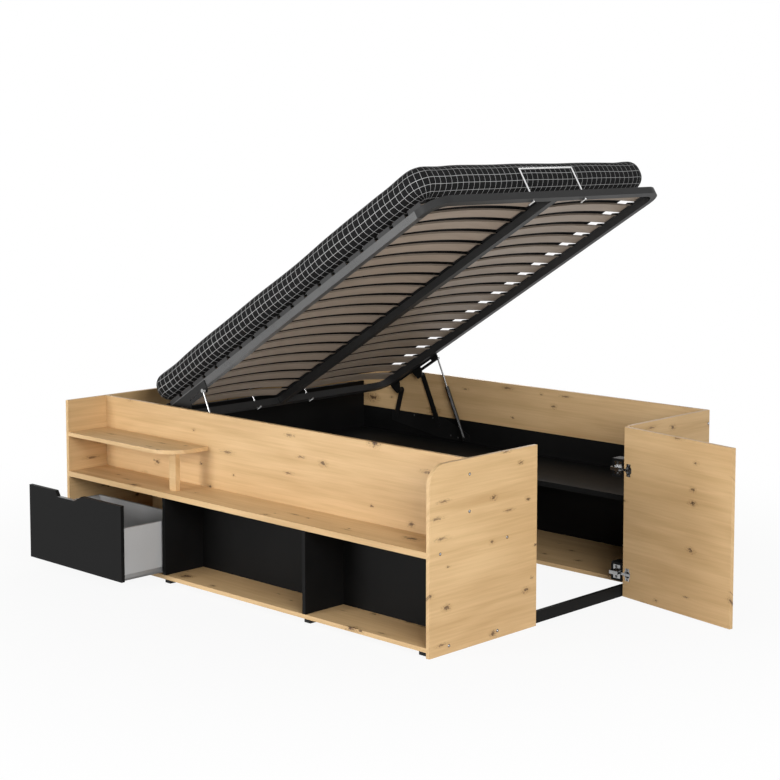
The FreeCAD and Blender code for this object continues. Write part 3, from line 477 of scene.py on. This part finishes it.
# %% Finishes of the boards, tubes and fittings
black_board = plain_material("black_laminate", 420.0, (0.004, 0.008), (0.45, 0.60), shine=0.08)
grey_board = plain_material("grey_laminate", 300.0, (0.42, 0.50), (0.42, 0.55))
# Painted light and shade: one rail coat in a paler lit copy and a darker shaded copy
tube_coat = plain_material("tube_coat", 900.0, (0.080, 0.105), (0.24, 0.36), metal=0.1, coat=0.10)
end_coat = plain_material("end_coat", 900.0, (0.028, 0.040), (0.32, 0.46), shine=0.08)
black_coat = plain_material(
    "black_coat", 700.0, (0.006, 0.014), (0.30, 0.45), metal=0.1, coat=0.05, shine=0.2
)
bright_metal = plain_material("bright_metal", 260.0, (0.36, 0.52), (0.08, 0.20), metal=1.0, bump=0.02)
hinge_metal = plain_material("hinge_metal", 260.0, (0.14, 0.46), (0.10, 0.26), metal=1.0, bump=0.02)
bright_wire = plain_material(
    "bright_wire", 500.0, (0.72, 0.84), (0.16, 0.28), metal=0.75, coat=0.2, bump=0.03
)
screw_steel = plain_material("screw_steel", 500.0, (0.10, 0.20), (0.25, 0.40), metal=0.8)
cylinder_gloss = plain_material(
    "cylinder_gloss", 700.0, (0.008, 0.016), (0.12, 0.20), metal=0.2, coat=0.5, shine=0.5
)
runner_grey = plain_material("runner_grey", 400.0, (0.24, 0.34), (0.30, 0.45), metal=0.3)
pull_edge = plain_material("pull_edge", 500.0, (0.16, 0.24), (0.30, 0.42), metal=0.6)
holder_grey = plain_material("holder_grey", 800.0, (0.030, 0.048), (0.40, 0.55), shine=0.15)
holder_black = plain_material("holder_black", 800.0, (0.006, 0.012), (0.40, 0.55), shine=0.15)
print("brightest finish:", bright_wire.name)

# %% Dress the boards, tubes and fittings
finishes = {
    "rear_lower_panel divider_left divider_right middle_bay_back right_bay_back rear_cabinet_shelf "
    "rear_cabinet_partition threshold_rail head_partition_upper head_partition_lower drawer_front "
    "hinge_blocks": black_board,
    "drawer_side_left drawer_side_right drawer_back drawer_bottom": grey_board,
    # The front rail takes the painted-light copy of the coat; the other rails take the painted-shade copy
    "base_rail_front": tube_coat,
    "base_rail_rear foot_rail head_rail centre_rail": end_coat,
    "lift_plate_front lift_plate_rear short_link_front short_link_rear long_link_front long_link_rear "
    "lift_bracket_front lift_bracket_rear": black_coat,
    "gas_cylinder_front gas_cylinder_rear": cylinder_gloss,
    "runners_fixed runners_moving": runner_grey,
    "gas_rod_front gas_rod_rear": bright_metal,
    "hinge_cups hinge_arms": hinge_metal,
    "mattress_bow_foot mattress_bow_head": bright_wire,
    "panel_screws": screw_steel,
    "drawer_pull": pull_edge,
    "slat_holders_front slat_holders_rear": holder_grey,
    "slat_holders_centre feet": holder_black,
}
for names, material in finishes.items():
    for name in names.split():
        finish_node(name, material)
print("plain finishes:", len(finishes))

# %% [markdown]
# ## The mattress form
# The mattress is a thin padded slab with round rims, soft corners and a slightly crowned top.
# A grid is laid on the top and the bottom and a band of rings joins them, so the cloth pattern can follow
# the cover: the band's rows continue the grid's lines over the rim, as a checked cover does.
# The underside is plain black with no check lines, as painted shade for the underside seen between the slats,
# so its map stays inside one cell of the check.

# %% Mattress sizes, read in the base's own directions
held = [v.co - base_point for v in nodes["mattress"].data.vertices]
slab_from = min(p.dot(base_along) for p in held)
slab_to = max(p.dot(base_along) for p in held)
slab_low = min(p.dot(base_up) for p in held)
slab_high = max(p.dot(base_up) for p in held)
slab_side = max(p.y for p in held)
puff = 0.005
crown = 0.006
half_long = (slab_to - slab_from) / 2 - puff
half_wide = slab_side - puff
headroom = 0.001
slab_thick = slab_high - slab_low - crown - headroom
rim = 0.050
low_rim_in = 0.068
low_rim_up = 0.058
corner = 0.080
middle_along = (slab_from + slab_to) / 2
print("mattress:", round(2 * half_long, 3), "x", round(2 * half_wide, 3), "x", round(slab_thick, 3))


# %% Outline rings
check_cell = 0.0312
steps_long = 58
steps_wide = 44
steps_corner = 8
least_corner = 0.004
cells_long = round(2 * (half_long - rim) / check_cell)
cells_wide = round(2 * (half_wide - rim) / check_cell)
cell_long = 2 * (half_long - rim) / cells_long
cell_wide = 2 * (half_wide - rim) / cells_wide


def outline_ring(inset):
    radius = max(corner - inset, least_corner)
    shrink = inset - (corner - radius)
    flat_long = half_long - corner - shrink
    flat_wide = half_wide - corner - shrink
    ring = []
    sides = (
        ((flat_long, -flat_wide), (0, 1), 2 * flat_wide, steps_wide, 0.0),
        ((flat_long, flat_wide), (-1, 0), 2 * flat_long, steps_long, 90.0),
        ((-flat_long, flat_wide), (0, -1), 2 * flat_wide, steps_wide, 180.0),
        ((-flat_long, -flat_wide), (1, 0), 2 * flat_long, steps_long, 270.0),
    )
    for (cx, cy), (dx, dy), run, steps, angle in sides:
        out = math.radians(angle)
        push = Vector((math.cos(out), math.sin(out))) * radius
        for step in range(steps):
            go = run * step / steps
            ring.append((cx + dx * go + push.x, cy + dy * go + push.y))
        end = (cx + dx * run, cy + dy * run)
        for step in range(steps_corner):
            turn = out + math.radians(90) * step / steps_corner
            ring.append((end[0] + math.cos(turn) * radius, end[1] + math.sin(turn) * radius))
    return ring


print("check cells:", cells_long, "by", cells_wide)

# %% [markdown]
# A corner is seldom a whole number of cells long, so there half a cell meets half a cell at a seam.


# %% Pattern places along a ring
def ring_cells():
    """The pattern place, in cells, at which each piece of the outline starts and ends."""
    places = []
    arc = corner * math.pi / 2
    sides = [
        (half_wide - corner, cell_wide, cells_wide, steps_wide),
        (half_long - corner, cell_long, cells_long, steps_long),
    ]
    for (flat, cell, cells, steps), (next_flat, next_cell, next_cells, _) in (sides, sides[::-1]) * 2:
        begin = cells / 2 - flat / cell
        end = begin + 2 * flat / cell
        for step in range(steps):
            places.append(tuple(begin + (end - begin) * place / steps for place in (step, step + 1)))
        next_begin = next_cells / 2 - next_flat / next_cell
        seam_after = round(end + arc / 2 / cell - 0.5) + 0.5 - end
        seam_before = next_begin + 0.5 - round(next_begin - arc / 2 / next_cell + 0.5)
        for step in range(steps_corner):
            low, high = 2 * step / steps_corner, 2 * (step + 1) / steps_corner
            if high <= 1:
                places.append((end + seam_after * low, end + seam_after * high))
            else:
                places.append((next_begin - seam_before * (2 - low), next_begin - seam_before * (2 - high)))
    return places


places = ring_cells()
print("pieces around the outline:", len(places))

# %% Profile of the rim: inset, height, and way along the cloth
rim_steps = 6
profile = []
for step in range(rim_steps + 1):
    bend = math.radians(90) * step / rim_steps
    profile.append((rim * (1 - math.sin(bend)), slab_thick - rim * (1 - math.cos(bend)), rim * bend))
reach = profile[-1][2]
wall = slab_thick - rim - low_rim_up
profile.append((0.0, low_rim_up + wall / 2, reach + wall / 2))
for step in range(rim_steps + 1):
    bend = math.radians(90) * step / rim_steps
    inset = low_rim_in * (1 - math.cos(bend))
    level = low_rim_up * (1 - math.sin(bend))
    profile.append((inset, level, reach + wall + (low_rim_in + low_rim_up) / 2 * bend))
print("profile steps:", len(profile), "wall:", round(wall, 3))

# %% The band of rings with its pattern map
mesh = bpy.data.meshes.new("mattress_cover")
work = bmesh.new()
pattern = work.loops.layers.uv.new("cover_cells")
rings = []
for inset, level, _ in profile:
    rings.append([work.verts.new((x, y, level)) for x, y in outline_ring(inset)])
ring_size = len(rings[0])
band_cell = (cell_long + cell_wide) / 2
for row in range(len(rings) - 1):
    top_row, low_row = profile[row][2] / band_cell, profile[row + 1][2] / band_cell
    for index in range(ring_size):
        after = (index + 1) % ring_size
        corners = (rings[row][index], rings[row + 1][index], rings[row + 1][after], rings[row][after])
        low, high = places[index]
        marks = ((low, top_row), (low, low_row), (high, low_row), (high, top_row))
        for loop, place in zip(work.faces.new(corners).loops, marks):
            loop[pattern].uv = place
print("band faces:", len(work.faces))

# %% [markdown]
# A face is a grid whose border is the ring that it closes. Each point inside is blended from the four sides,
# so the grid runs straight in the middle and follows the round corners at the border.

# %% Sides and inner points of a face's grid
count_wide = steps_wide + steps_corner
count_long = steps_long + steps_corner


def ring_run(start, count):
    return [(start - steps_corner // 2 + step) % ring_size for step in range(count + 1)]


right = ring_run(0, count_wide)
top = ring_run(count_wide, count_long)[::-1]
left = ring_run(count_wide + count_long, count_wide)[::-1]
bottom = ring_run(2 * count_wide + count_long, count_long)


def blended_spot(spot, i, j):
    u, v = i / count_long, j / count_wide
    edge = (1 - v) * spot[bottom[i]] + v * spot[top[i]]
    edge = edge + (1 - u) * spot[left[j]] + u * spot[right[j]]
    ends = (1 - u) * (1 - v) * spot[bottom[0]] + u * (1 - v) * spot[bottom[-1]]
    ends = ends + (1 - u) * v * spot[top[0]] + u * v * spot[top[-1]]
    return edge - ends


print("face grid:", count_long, "by", count_wide)

# %% The two faces, and the finished mesh
# The underside's map spans less than one cell, so no check lines show there: painted shade
shaded_underside_span = 0.2
for ring, level, upward in ((rings[0], slab_thick, True), (rings[-1], 0.0, False)):
    spot = [Vector((v.co.x, v.co.y)) for v in ring]
    grid = {}
    for i in range(count_long + 1):
        for j in range(count_wide + 1):
            if j == 0:
                grid[i, j] = ring[bottom[i]]
            elif j == count_wide:
                grid[i, j] = ring[top[i]]
            elif i == 0:
                grid[i, j] = ring[left[j]]
            elif i == count_long:
                grid[i, j] = ring[right[j]]
            else:
                grid[i, j] = work.verts.new((*blended_spot(spot, i, j), level))
    for i in range(count_long):
        for j in range(count_wide):
            corners = [grid[i, j], grid[i + 1, j], grid[i + 1, j + 1], grid[i, j + 1]]
            for loop in work.faces.new(corners if upward else corners[::-1]).loops:
                x, y = loop.vert.co.x, loop.vert.co.y
                if upward:
                    cells_in = (x + half_long - rim) / cell_long
                    loop[pattern].uv = (cells_in, (y + half_wide - rim) / cell_wide)
                else:
                    loop[pattern].uv = (0.5 + shaded_underside_span * x / half_long, 0.5 + shaded_underside_span * y / half_wide)
bmesh.ops.recalc_face_normals(work, faces=work.faces)
work.to_mesh(mesh)
work.free()
mattress = bpy.data.objects.new("mattress_cover", mesh)
scene.collection.objects.link(mattress)
print("mattress mesh:", len(mesh.vertices), "points")

# %% [markdown]
# ## Filling the mattress
# A cloth simulation with air pressure rounds the cover the way padding does.
# The underside lies on the slats, so it is pinned, and the swell is capped to keep the real size.
# A smooth crown and soft waves are added after the filling.

# %% Puff the cover with cloth pressure
rest = np.array([v.co for v in mesh.vertices])
top_hold, top_hold_in = 0.55, 0.22
near_face = 0.002
last_step = 20
pins = mattress.vertex_groups.new(name="lying")
for index, (x, y, z) in enumerate(rest):
    inside = min(half_long - abs(x), half_wide - abs(y))
    if z < near_face and inside > low_rim_in * 0.9:
        pins.add([index], 1.0, "REPLACE")
    elif z > slab_thick - near_face and inside > top_hold_in:
        pins.add([index], top_hold, "REPLACE")
cloth = mattress.modifiers.new("filling", "CLOTH")
cloth.settings.use_pressure = True
cloth.settings.uniform_pressure_force = 4.0
cloth.settings.effector_weights.gravity = 0.0
cloth.settings.vertex_group_mass = "lying"
cloth.settings.tension_stiffness = 25
cloth.settings.compression_stiffness = 25
cloth.settings.shear_stiffness = 12
cloth.settings.bending_stiffness = 2.0
cloth.point_cache.frame_start = 1
cloth.point_cache.frame_end = last_step
for step in range(1, last_step + 1):
    scene.frame_set(step)
shaped = mattress.evaluated_get(bpy.context.evaluated_depsgraph_get())
moved = np.array([v.co for v in shaped.data.vertices])
mattress.modifiers.remove(cloth)
mattress.vertex_groups.clear()
scene.frame_set(1)
swell = moved - rest
size = np.linalg.norm(swell, axis=1, keepdims=True)
swell = swell * np.minimum(1.0, puff / np.maximum(size, 1e-9))
print("largest swell before the cap:", round(float(size.max()), 4))

# %% Crown and soft waves
x, y, z = rest.T
level = np.clip(z / slab_thick, 0, 1)
bulge = (1 - (x / half_long) ** 2).clip(0) ** 0.5 * (1 - (y / half_wide) ** 2).clip(0) ** 0.5
wave = np.sin(7.3 * x + 0.8) * np.cos(5.1 * y + 0.3)
wave = wave + 0.6 * np.sin(13.7 * x - 4.0 * y) + 0.5 * np.cos(17.0 * y + 1.1)
sway = np.sin(9.1 * x + 2.0 * y) + 0.7 * np.sin(15.3 * (x + y) + 1.0)
shaped = rest + swell
wave_height, settled = 0.0022, 0.0040
side_wave, end_wave, drawn_in = 0.0024, 0.0018, 0.8
shaped[:, 2] += level * (crown * bulge + wave_height * wave - settled)
out = np.stack([x / half_long, y / half_wide], 1)
edge_side = np.abs(out[:, 1]) >= np.abs(out[:, 0])
middle = np.sin(np.pi * level)
shaped[:, 1] += np.where(edge_side, np.sign(y) * side_wave * (sway - drawn_in) * middle, 0)
shaped[:, 0] += np.where(edge_side, 0, np.sign(x) * end_wave * (sway - drawn_in) * middle)
shaped[:, 2] = np.maximum(shaped[:, 2], 0.0)
limit_long, limit_wide = half_long + puff, half_wide + puff
shaped[:, 0] = np.clip(shaped[:, 0], -limit_long, limit_long)
shaped[:, 1] = np.clip(shaped[:, 1], -limit_wide, limit_wide)
print("highest point over the slats:", round(float(shaped[:, 2].max()), 4))

# %% The place on the base, and a smooth cover
seat_gap = 0.0005
placed = (
    np.array(base_point)
    + np.outer(shaped[:, 0] + middle_along, np.array(base_along))
    + np.outer(shaped[:, 1], np.array((0, 1, 0)))
    + np.outer(shaped[:, 2] + slab_low + seat_gap, np.array(base_up))
)
mesh.vertices.foreach_set("co", placed.astype(np.float32).ravel())
mesh.update()
smooth = mattress.modifiers.new("smooth", "SUBSURF")
smooth.levels = 1
smooth.render_levels = 1
smooth.uv_smooth = "NONE"
plain_mesh = bpy.data.meshes.new_from_object(mattress.evaluated_get(bpy.context.evaluated_depsgraph_get()))
mattress.modifiers.clear()
mattress.data = plain_mesh
mattress.data.shade_smooth()
print("mattress faces:", len(plain_mesh.polygons))

# %% [markdown]
# ## The checked cover
# The cover is black with a fine white windowpane check. The pattern map counts cells, so a line is drawn
# wherever a coordinate is close to a whole number. A small weave breaks up the tone and the shine.


# %% Shader group: woven_check
woven_check, given_weave, weave_result = start_group(
    "woven_check",
    [
        ("Cells", POINT, None),
        ("Line width", FLOAT, 0.08),
        ("Threads per cell", FLOAT, 28.0),
        ("Ground", COLOUR, (0.01, 0.01, 0.01, 1)),
        ("Line", COLOUR, (0.7, 0.7, 0.7, 1)),
    ],
    [("Color", COLOUR), ("Roughness", FLOAT), ("Height", FLOAT)],
)
cell_axes = add_node(woven_check, "ShaderNodeSeparateXYZ", {0: given_weave["Cells"]}).outputs
half_line = calc(woven_check, "MULTIPLY", given_weave["Line width"], 0.5)
soft_line = calc(woven_check, "MULTIPLY", given_weave["Line width"], 0.75)
lines = []
threads = []
for axis in (0, 1):
    near = calc(woven_check, "PINGPONG", cell_axes[axis], 0.5)
    lines.append(ramp_down(woven_check, near, half_line, soft_line))
    spin = calc(woven_check, "MULTIPLY", cell_axes[axis], given_weave["Threads per cell"])
    threads.append(calc(woven_check, "SINE", calc(woven_check, "MULTIPLY", spin, 2 * math.pi)))
check_mask = calc(woven_check, "MAXIMUM", lines[0], lines[1])
weave = calc(woven_check, "MULTIPLY_ADD", calc(woven_check, "MULTIPLY", threads[0], threads[1]), 0.5, 0.5)
fuzz = add_node(
    woven_check, "ShaderNodeTexNoise", {"Vector": given_weave["Cells"], "Scale": 3.0, "Detail": 4.0}
).outputs["Fac"]
worn = calc(woven_check, "MULTIPLY_ADD", fuzz, 0.5, 0.4)
fade = calc(woven_check, "MULTIPLY_ADD", weave, 0.35, worn, clamp=True)
line_share = calc(woven_check, "MULTIPLY", check_mask, fade)
cover_colour = blend_colours(woven_check, line_share, given_weave["Ground"], given_weave["Line"])
woven_check.links.new(cover_colour, weave_result.inputs["Color"])
woven_check.links.new(calc(woven_check, "MULTIPLY_ADD", fuzz, 0.2, 0.68), weave_result.inputs["Roughness"])
woven_check.links.new(weave, weave_result.inputs["Height"])
print("woven_check has", len(woven_check.nodes), "nodes")

# %% Dress and seat the mattress
cover, tree, surface = start_material("mattress_cover")
cells = add_node(tree, "ShaderNodeUVMap", uv_map="cover_cells").outputs[0]
cloth_figure = add_node(
    tree,
    "ShaderNodeGroup",
    {
        "Cells": cells,
        "Line width": 0.044,
        "Ground": (0.0075, 0.0075, 0.0078, 1),
        "Line": (0.55, 0.55, 0.55, 1),
    },
    node_tree=woven_check,
).outputs
nap = add_node(
    tree, "ShaderNodeBump", {"Strength": 0.3, "Distance": 0.0004, "Height": cloth_figure["Height"]}
)
tree.links.new(cloth_figure["Color"], surface.inputs["Base Color"])
tree.links.new(cloth_figure["Roughness"], surface.inputs["Roughness"])
tree.links.new(nap.outputs["Normal"], surface.inputs["Normal"])
surface.inputs["Specular IOR Level"].default_value = 0.12
mattress.data.materials.clear()
mattress.data.materials.append(cover)
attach(mattress, "bed_frame")
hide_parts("mattress")
print("mattress rides on the lifted base")

# %% [markdown]
# ## Screws
# Small cross-head screws hold the hinge plates, the cups, the lift plates and the foot panels.
# One geometry node tree makes a head with its cross recess and sets a copy on each point,
# turned to face the way the point says.

# %% Geometry nodes: the inputs of screw_row
screw_row = bpy.data.node_groups.new("screw_row", "GeometryNodeTree")
screw_row.is_modifier = True
for label, kind in (
    ("Geometry", "NodeSocketGeometry"),
    ("Head radius", "NodeSocketFloat"),
    ("Head height", "NodeSocketFloat"),
    ("Finish", "NodeSocketMaterial"),
    ("Rim finish", "NodeSocketMaterial"),
):
    screw_row.interface.new_socket(label, in_out="INPUT", socket_type=kind)
screw_row.interface.new_socket("Geometry", in_out="OUTPUT", socket_type="NodeSocketGeometry")
entry = add_node(screw_row, "NodeGroupInput").outputs
leave = add_node(screw_row, "NodeGroupOutput")


def tree_calc(operation, first, second):
    return add_node(screw_row, "ShaderNodeMath", {0: first, 1: second}, operation=operation).outputs[0]


print("screw_row inputs:", [item.name for item in screw_row.interface.items_tree if item.in_out == "INPUT"])

# %% Geometry nodes: a head with a cross recess
head = add_node(
    screw_row,
    "GeometryNodeMeshCone",
    {
        "Vertices": 20,
        "Radius Top": tree_calc("MULTIPLY", entry["Head radius"], 0.8),
        "Radius Bottom": entry["Head radius"],
        "Depth": entry["Head height"],
    },
).outputs["Mesh"]
bar_long = tree_calc("MULTIPLY", entry["Head radius"], 1.1)
bar_wide = tree_calc("MULTIPLY", entry["Head radius"], 0.26)
bars = []
for first, second in ((bar_long, bar_wide), (bar_wide, bar_long)):
    shape = add_node(
        screw_row, "ShaderNodeCombineXYZ", {0: first, 1: second, 2: entry["Head height"]}
    ).outputs[0]
    bar = add_node(screw_row, "GeometryNodeMeshCube", {"Size": shape}).outputs["Mesh"]
    lift = add_node(
        screw_row, "ShaderNodeCombineXYZ", {2: tree_calc("MULTIPLY", entry["Head height"], 0.9)}
    ).outputs[0]
    raised = add_node(screw_row, "GeometryNodeTransform", {"Geometry": bar, "Translation": lift})
    bars.append(raised.outputs[0])
recess = add_node(screw_row, "GeometryNodeMeshBoolean", operation="DIFFERENCE")
recess.solver = "EXACT"
screw_row.links.new(head, recess.inputs["Mesh 1"])
for bar in bars:
    screw_row.links.new(bar, recess.inputs["Mesh 2"])
print("recess bars:", len(bars))

# %% [markdown]
# Under each head lies a thin dark disc, painted shade for the shadowed gap around the head. Its faces carry a
# mark, so one more Set Material can pick them out after the copies have been made real.

# %% Geometry nodes: painted shade disc, copies and finishes
# A thin dark disc under the head: painted shade for the gap around it
shade_disc = add_node(
    screw_row,
    "GeometryNodeMeshCylinder",
    {
        "Vertices": 20,
        "Radius": tree_calc("MULTIPLY", entry["Head radius"], 1.3),
        "Depth": tree_calc("MULTIPLY", entry["Head height"], 0.6),
    },
).outputs["Mesh"]
marked_shade_disc = add_node(
    screw_row,
    "GeometryNodeStoreNamedAttribute",
    {"Geometry": shade_disc, "Name": "rim", "Value": True},
    data_type="BOOLEAN",
    domain="FACE",
).outputs[0]
whole = add_node(screw_row, "GeometryNodeJoinGeometry")
screw_row.links.new(recess.outputs["Mesh"], whole.inputs[0])
screw_row.links.new(marked_shade_disc, whole.inputs[0])
named = "GeometryNodeInputNamedAttribute"
facing = add_node(screw_row, named, {"Name": "facing"}, data_type="FLOAT_VECTOR")
on_shade_disc = add_node(screw_row, named, {"Name": "rim"}, data_type="BOOLEAN")
turn = add_node(screw_row, "FunctionNodeAlignRotationToVector", {"Vector": facing.outputs[0]}, axis="Z")
copies = add_node(
    screw_row,
    "GeometryNodeInstanceOnPoints",
    {"Points": entry["Geometry"], "Instance": whole.outputs[0], "Rotation": turn.outputs[0]},
)
solid = add_node(screw_row, "GeometryNodeRealizeInstances", {"Geometry": copies.outputs[0]})
dressed = add_node(
    screw_row, "GeometryNodeSetMaterial", {"Geometry": solid.outputs[0], "Material": entry["Finish"]}
)
ringed = add_node(
    screw_row,
    "GeometryNodeSetMaterial",
    {"Geometry": dressed.outputs[0], "Selection": on_shade_disc.outputs[0], "Material": entry["Rim finish"]},
)
screw_row.links.new(ringed.outputs[0], leave.inputs["Geometry"])
print("screw_row has", len(screw_row.nodes), "nodes")


# %% Helpers that set screws on a body
def screws_on(name, body, sites, radius, tall, finish):
    points = bpy.data.meshes.new(name)
    points.from_pydata([spot for spot, way in sites], [], [])
    ways = points.attributes.new("facing", "FLOAT_VECTOR", "POINT")
    for index, (spot, way) in enumerate(sites):
        ways.data[index].vector = way
    holder = bpy.data.objects.new(name, points)
    scene.collection.objects.link(holder)
    maker = holder.modifiers.new("screws", "NODES")
    maker.node_group = screw_row
    inputs = [item for item in screw_row.interface.items_tree if item.in_out == "INPUT"]
    sockets = {item.name: item.identifier for item in inputs}
    maker[sockets["Head radius"]] = radius
    maker[sockets["Head height"]] = tall
    maker[sockets["Finish"]] = finish
    # The dark disc under each head takes the black coat: painted shade around the screw head
    maker[sockets["Rim finish"]] = black_coat
    made = bpy.data.meshes.new_from_object(holder.evaluated_get(bpy.context.evaluated_depsgraph_get()))
    holder.modifiers.clear()
    holder.data = made
    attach(holder, body)
    print(name, "faces:", len(made.polygons))


def clusters_of(name, gap):
    """The points of a node, in one list for each group that lies apart."""
    found = []
    for vertex in nodes[name].data.vertices:
        for cluster in found:
            if (vertex.co - cluster[0]).length < gap:
                cluster.append(vertex.co.copy())
                break
        else:
            found.append([vertex.co.copy()])
    return found


print("screw helpers ready")

# %% [markdown]
# The hinges come in two groups, one low and one high, and each plate and each cup flange has a screw above
# and below its middle. The door's joint gives the line that it turns about and how far it stands open.

# %% Screws of the hinge plates and cups
hinges_apart = 0.2
hinge_levels = []
for cluster in clusters_of("hinge_arms", hinges_apart):
    heights = [spot.z for spot in cluster]
    hinge_levels.append((min(heights) + max(heights)) / 2)
block_low, block_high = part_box("hinge_blocks")
plate_middle = (block_low.x + block_high.x) / 2
plate_thick = 0.002
plate_face = block_low.y - plate_thick
plate_holes = 0.020
plate_sites = [
    ((plate_middle, plate_face, level + side * plate_holes), (0, -1, 0))
    for level in hinge_levels
    for side in (-1, 1)
]
screws_on("hinge_plate_screws", "carcass", plate_sites, radius=0.0042, tall=0.0012, finish=screw_steel)

door_joint = next(joint for joint in frame["joints"] if joint["name"] == "door_hinge")
door_turn = math.radians(-door_joint["range_deg"][0])
inward = Vector((-math.cos(door_turn), -math.sin(door_turn), 0))
away_from_hinge = Vector((math.sin(door_turn), -math.cos(door_turn), 0))
flange_from_pole = 0.029
cup_from_pole = 0.016
cup_holes = 0.0205
cup_spot = Vector((*door_joint["pos_m"][:2], 0)) + inward * flange_from_pole + away_from_hinge * cup_from_pole
cup_sites = [
    (cup_spot + Vector((0, 0, level + side * cup_holes)), inward)
    for level in hinge_levels
    for side in (-1, 1)
]
screws_on("hinge_cup_screws", "door", cup_sites, radius=0.0036, tall=0.0010, finish=screw_steel)

# %% Screws of the lift plates
plate_sheet = 0.003
plate_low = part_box("lift_plate_front")[0]
from_plate_corner = ((0.147, 0.086), (0.267, 0.086), (0.382, 0.017), (0.427, 0.012))
front_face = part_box("side_panel_front")[1].y + plate_sheet
rear_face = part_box("side_panel_rear")[0].y - plate_sheet
lift_sites = []
for face, way in ((front_face, (0, 1, 0)), (rear_face, (0, -1, 0))):
    lift_sites += [((plate_low.x + along, face, plate_low.z + up), way) for along, up in from_plate_corner]
screws_on("lift_plate_screws", "carcass", lift_sites, radius=0.0045, tall=0.0005, finish=screw_steel)

# %% [markdown]
# The foot panels are held by larger screws. Each one sits on the stud that the solid model has at that place,
# so the places are read from that model: its points fall into one group per stud.

# %% Heads on the foot panels' studs
studs_apart = 0.03
stud_sites = []
for cluster in clusters_of("panel_screws", studs_apart):
    stud_spot = sum(cluster, Vector()) / len(cluster)
    stud_spot.x = max(spot.x for spot in cluster)
    stud_sites.append((stud_spot, (1, 0, 0)))
screws_on("foot_panel_screws", "carcass", stud_sites, radius=0.0044, tall=0.0010, finish=bright_metal)

# %% [markdown]
# ## Floor and light
# A wide pale floor keeps a soft shadow near the bed and fades to white, and the world is white to the camera.
# A large lamp in front on the left, one on the right, a faint one overhead and one behind light the boards
# at a plain level.


# %% What the camera, metal and glass see
def seen_directly(tree):
    """1 where the camera looks, also by reflection or through glass, and 0 for light that falls on things."""
    path = add_node(tree, "ShaderNodeLightPath").outputs
    seen = calc(tree, "MAXIMUM", path["Is Camera Ray"], path["Is Glossy Ray"])
    return calc(tree, "MAXIMUM", seen, path["Is Transmission Ray"])


print("light path helper ready")

# %% Floor that keeps the shadow
floor_mesh = bpy.data.meshes.new("pale_floor")
wide = 60.0
floor_mesh.from_pydata(
    [(-wide, -wide, 0), (wide, -wide, 0), (wide, wide, 0), (-wide, wide, 0)], [], [(0, 1, 2, 3)]
)
floor = bpy.data.objects.new("pale_floor", floor_mesh)
floor.location.z = -0.0008
scene.collection.objects.link(floor)
paint = bpy.data.materials.new("pale_floor")
paint.use_nodes = True
tree = paint.node_tree
tree.nodes.clear()
place = add_node(tree, "ShaderNodeTexCoord").outputs["Object"]
under_bed = (1.1, -0.1, 0.0)
from_bed = add_node(
    tree, "ShaderNodeVectorMath", {0: place, 1: under_bed}, operation="DISTANCE"
).outputs["Value"]
near_bed = ramp_down(tree, from_bed, 0.9, 3.0)
shadow_share = 0.09
seen = seen_directly(tree)
white_share = calc(tree, "MULTIPLY", seen, calc(tree, "MULTIPLY_ADD", near_bed, -shadow_share, 1.0))
matt = add_node(tree, "ShaderNodeBsdfDiffuse", {"Color": (0.72, 0.72, 0.72, 1)}).outputs[0]
white = add_node(tree, "ShaderNodeEmission", {"Color": (1, 1, 1, 1), "Strength": 1.0}).outputs[0]
both = add_node(tree, "ShaderNodeMixShader", {0: white_share, 1: matt, 2: white})
add_node(tree, "ShaderNodeOutputMaterial", {"Surface": both.outputs[0]})
floor_mesh.materials.append(paint)
print("floor set")

# %% World
world = bpy.data.worlds.new("white_room")
scene.world = world
world.use_nodes = True
tree = world.node_tree
tree.nodes.clear()
seen = seen_directly(tree)
dim = add_node(tree, "ShaderNodeBackground", {"Color": (1, 1, 1, 1), "Strength": 0.20}).outputs[0]
bright = add_node(tree, "ShaderNodeBackground", {"Color": (1, 1, 1, 1), "Strength": 1.0}).outputs[0]
room = add_node(tree, "ShaderNodeMixShader", {0: seen, 1: dim, 2: bright}).outputs[0]
add_node(tree, "ShaderNodeOutputWorld", {"Surface": room})
print("world set")


# %% Lamps
def soft_lamp(name, place, target, size, power):
    lamp = bpy.data.lights.new(name, "AREA")
    lamp.shape = "SQUARE"
    lamp.size = size
    lamp.energy = power
    holder = bpy.data.objects.new(name, lamp)
    holder.location = place
    holder.rotation_mode = "QUATERNION"
    holder.rotation_quaternion = (Vector(target) - Vector(place)).to_track_quat("-Z", "Y")
    scene.collection.objects.link(holder)


soft_lamp("front_lamp", (-0.5, -5.4, 1.25), target=(1.0, -0.7, 0.4), size=2.2, power=165)
soft_lamp("right_lamp", (6.0, -2.8, 2.0), target=(1.8, -0.3, 0.5), size=2.4, power=200)
soft_lamp("top_lamp", (0.6, -1.0, 5.2), target=(0.9, 0.0, 0.4), size=4.0, power=10)
soft_lamp("back_lamp", (-3.2, 4.8, 2.6), target=(0.8, 0.4, 0.5), size=2.4, power=125)
print("lamps set")
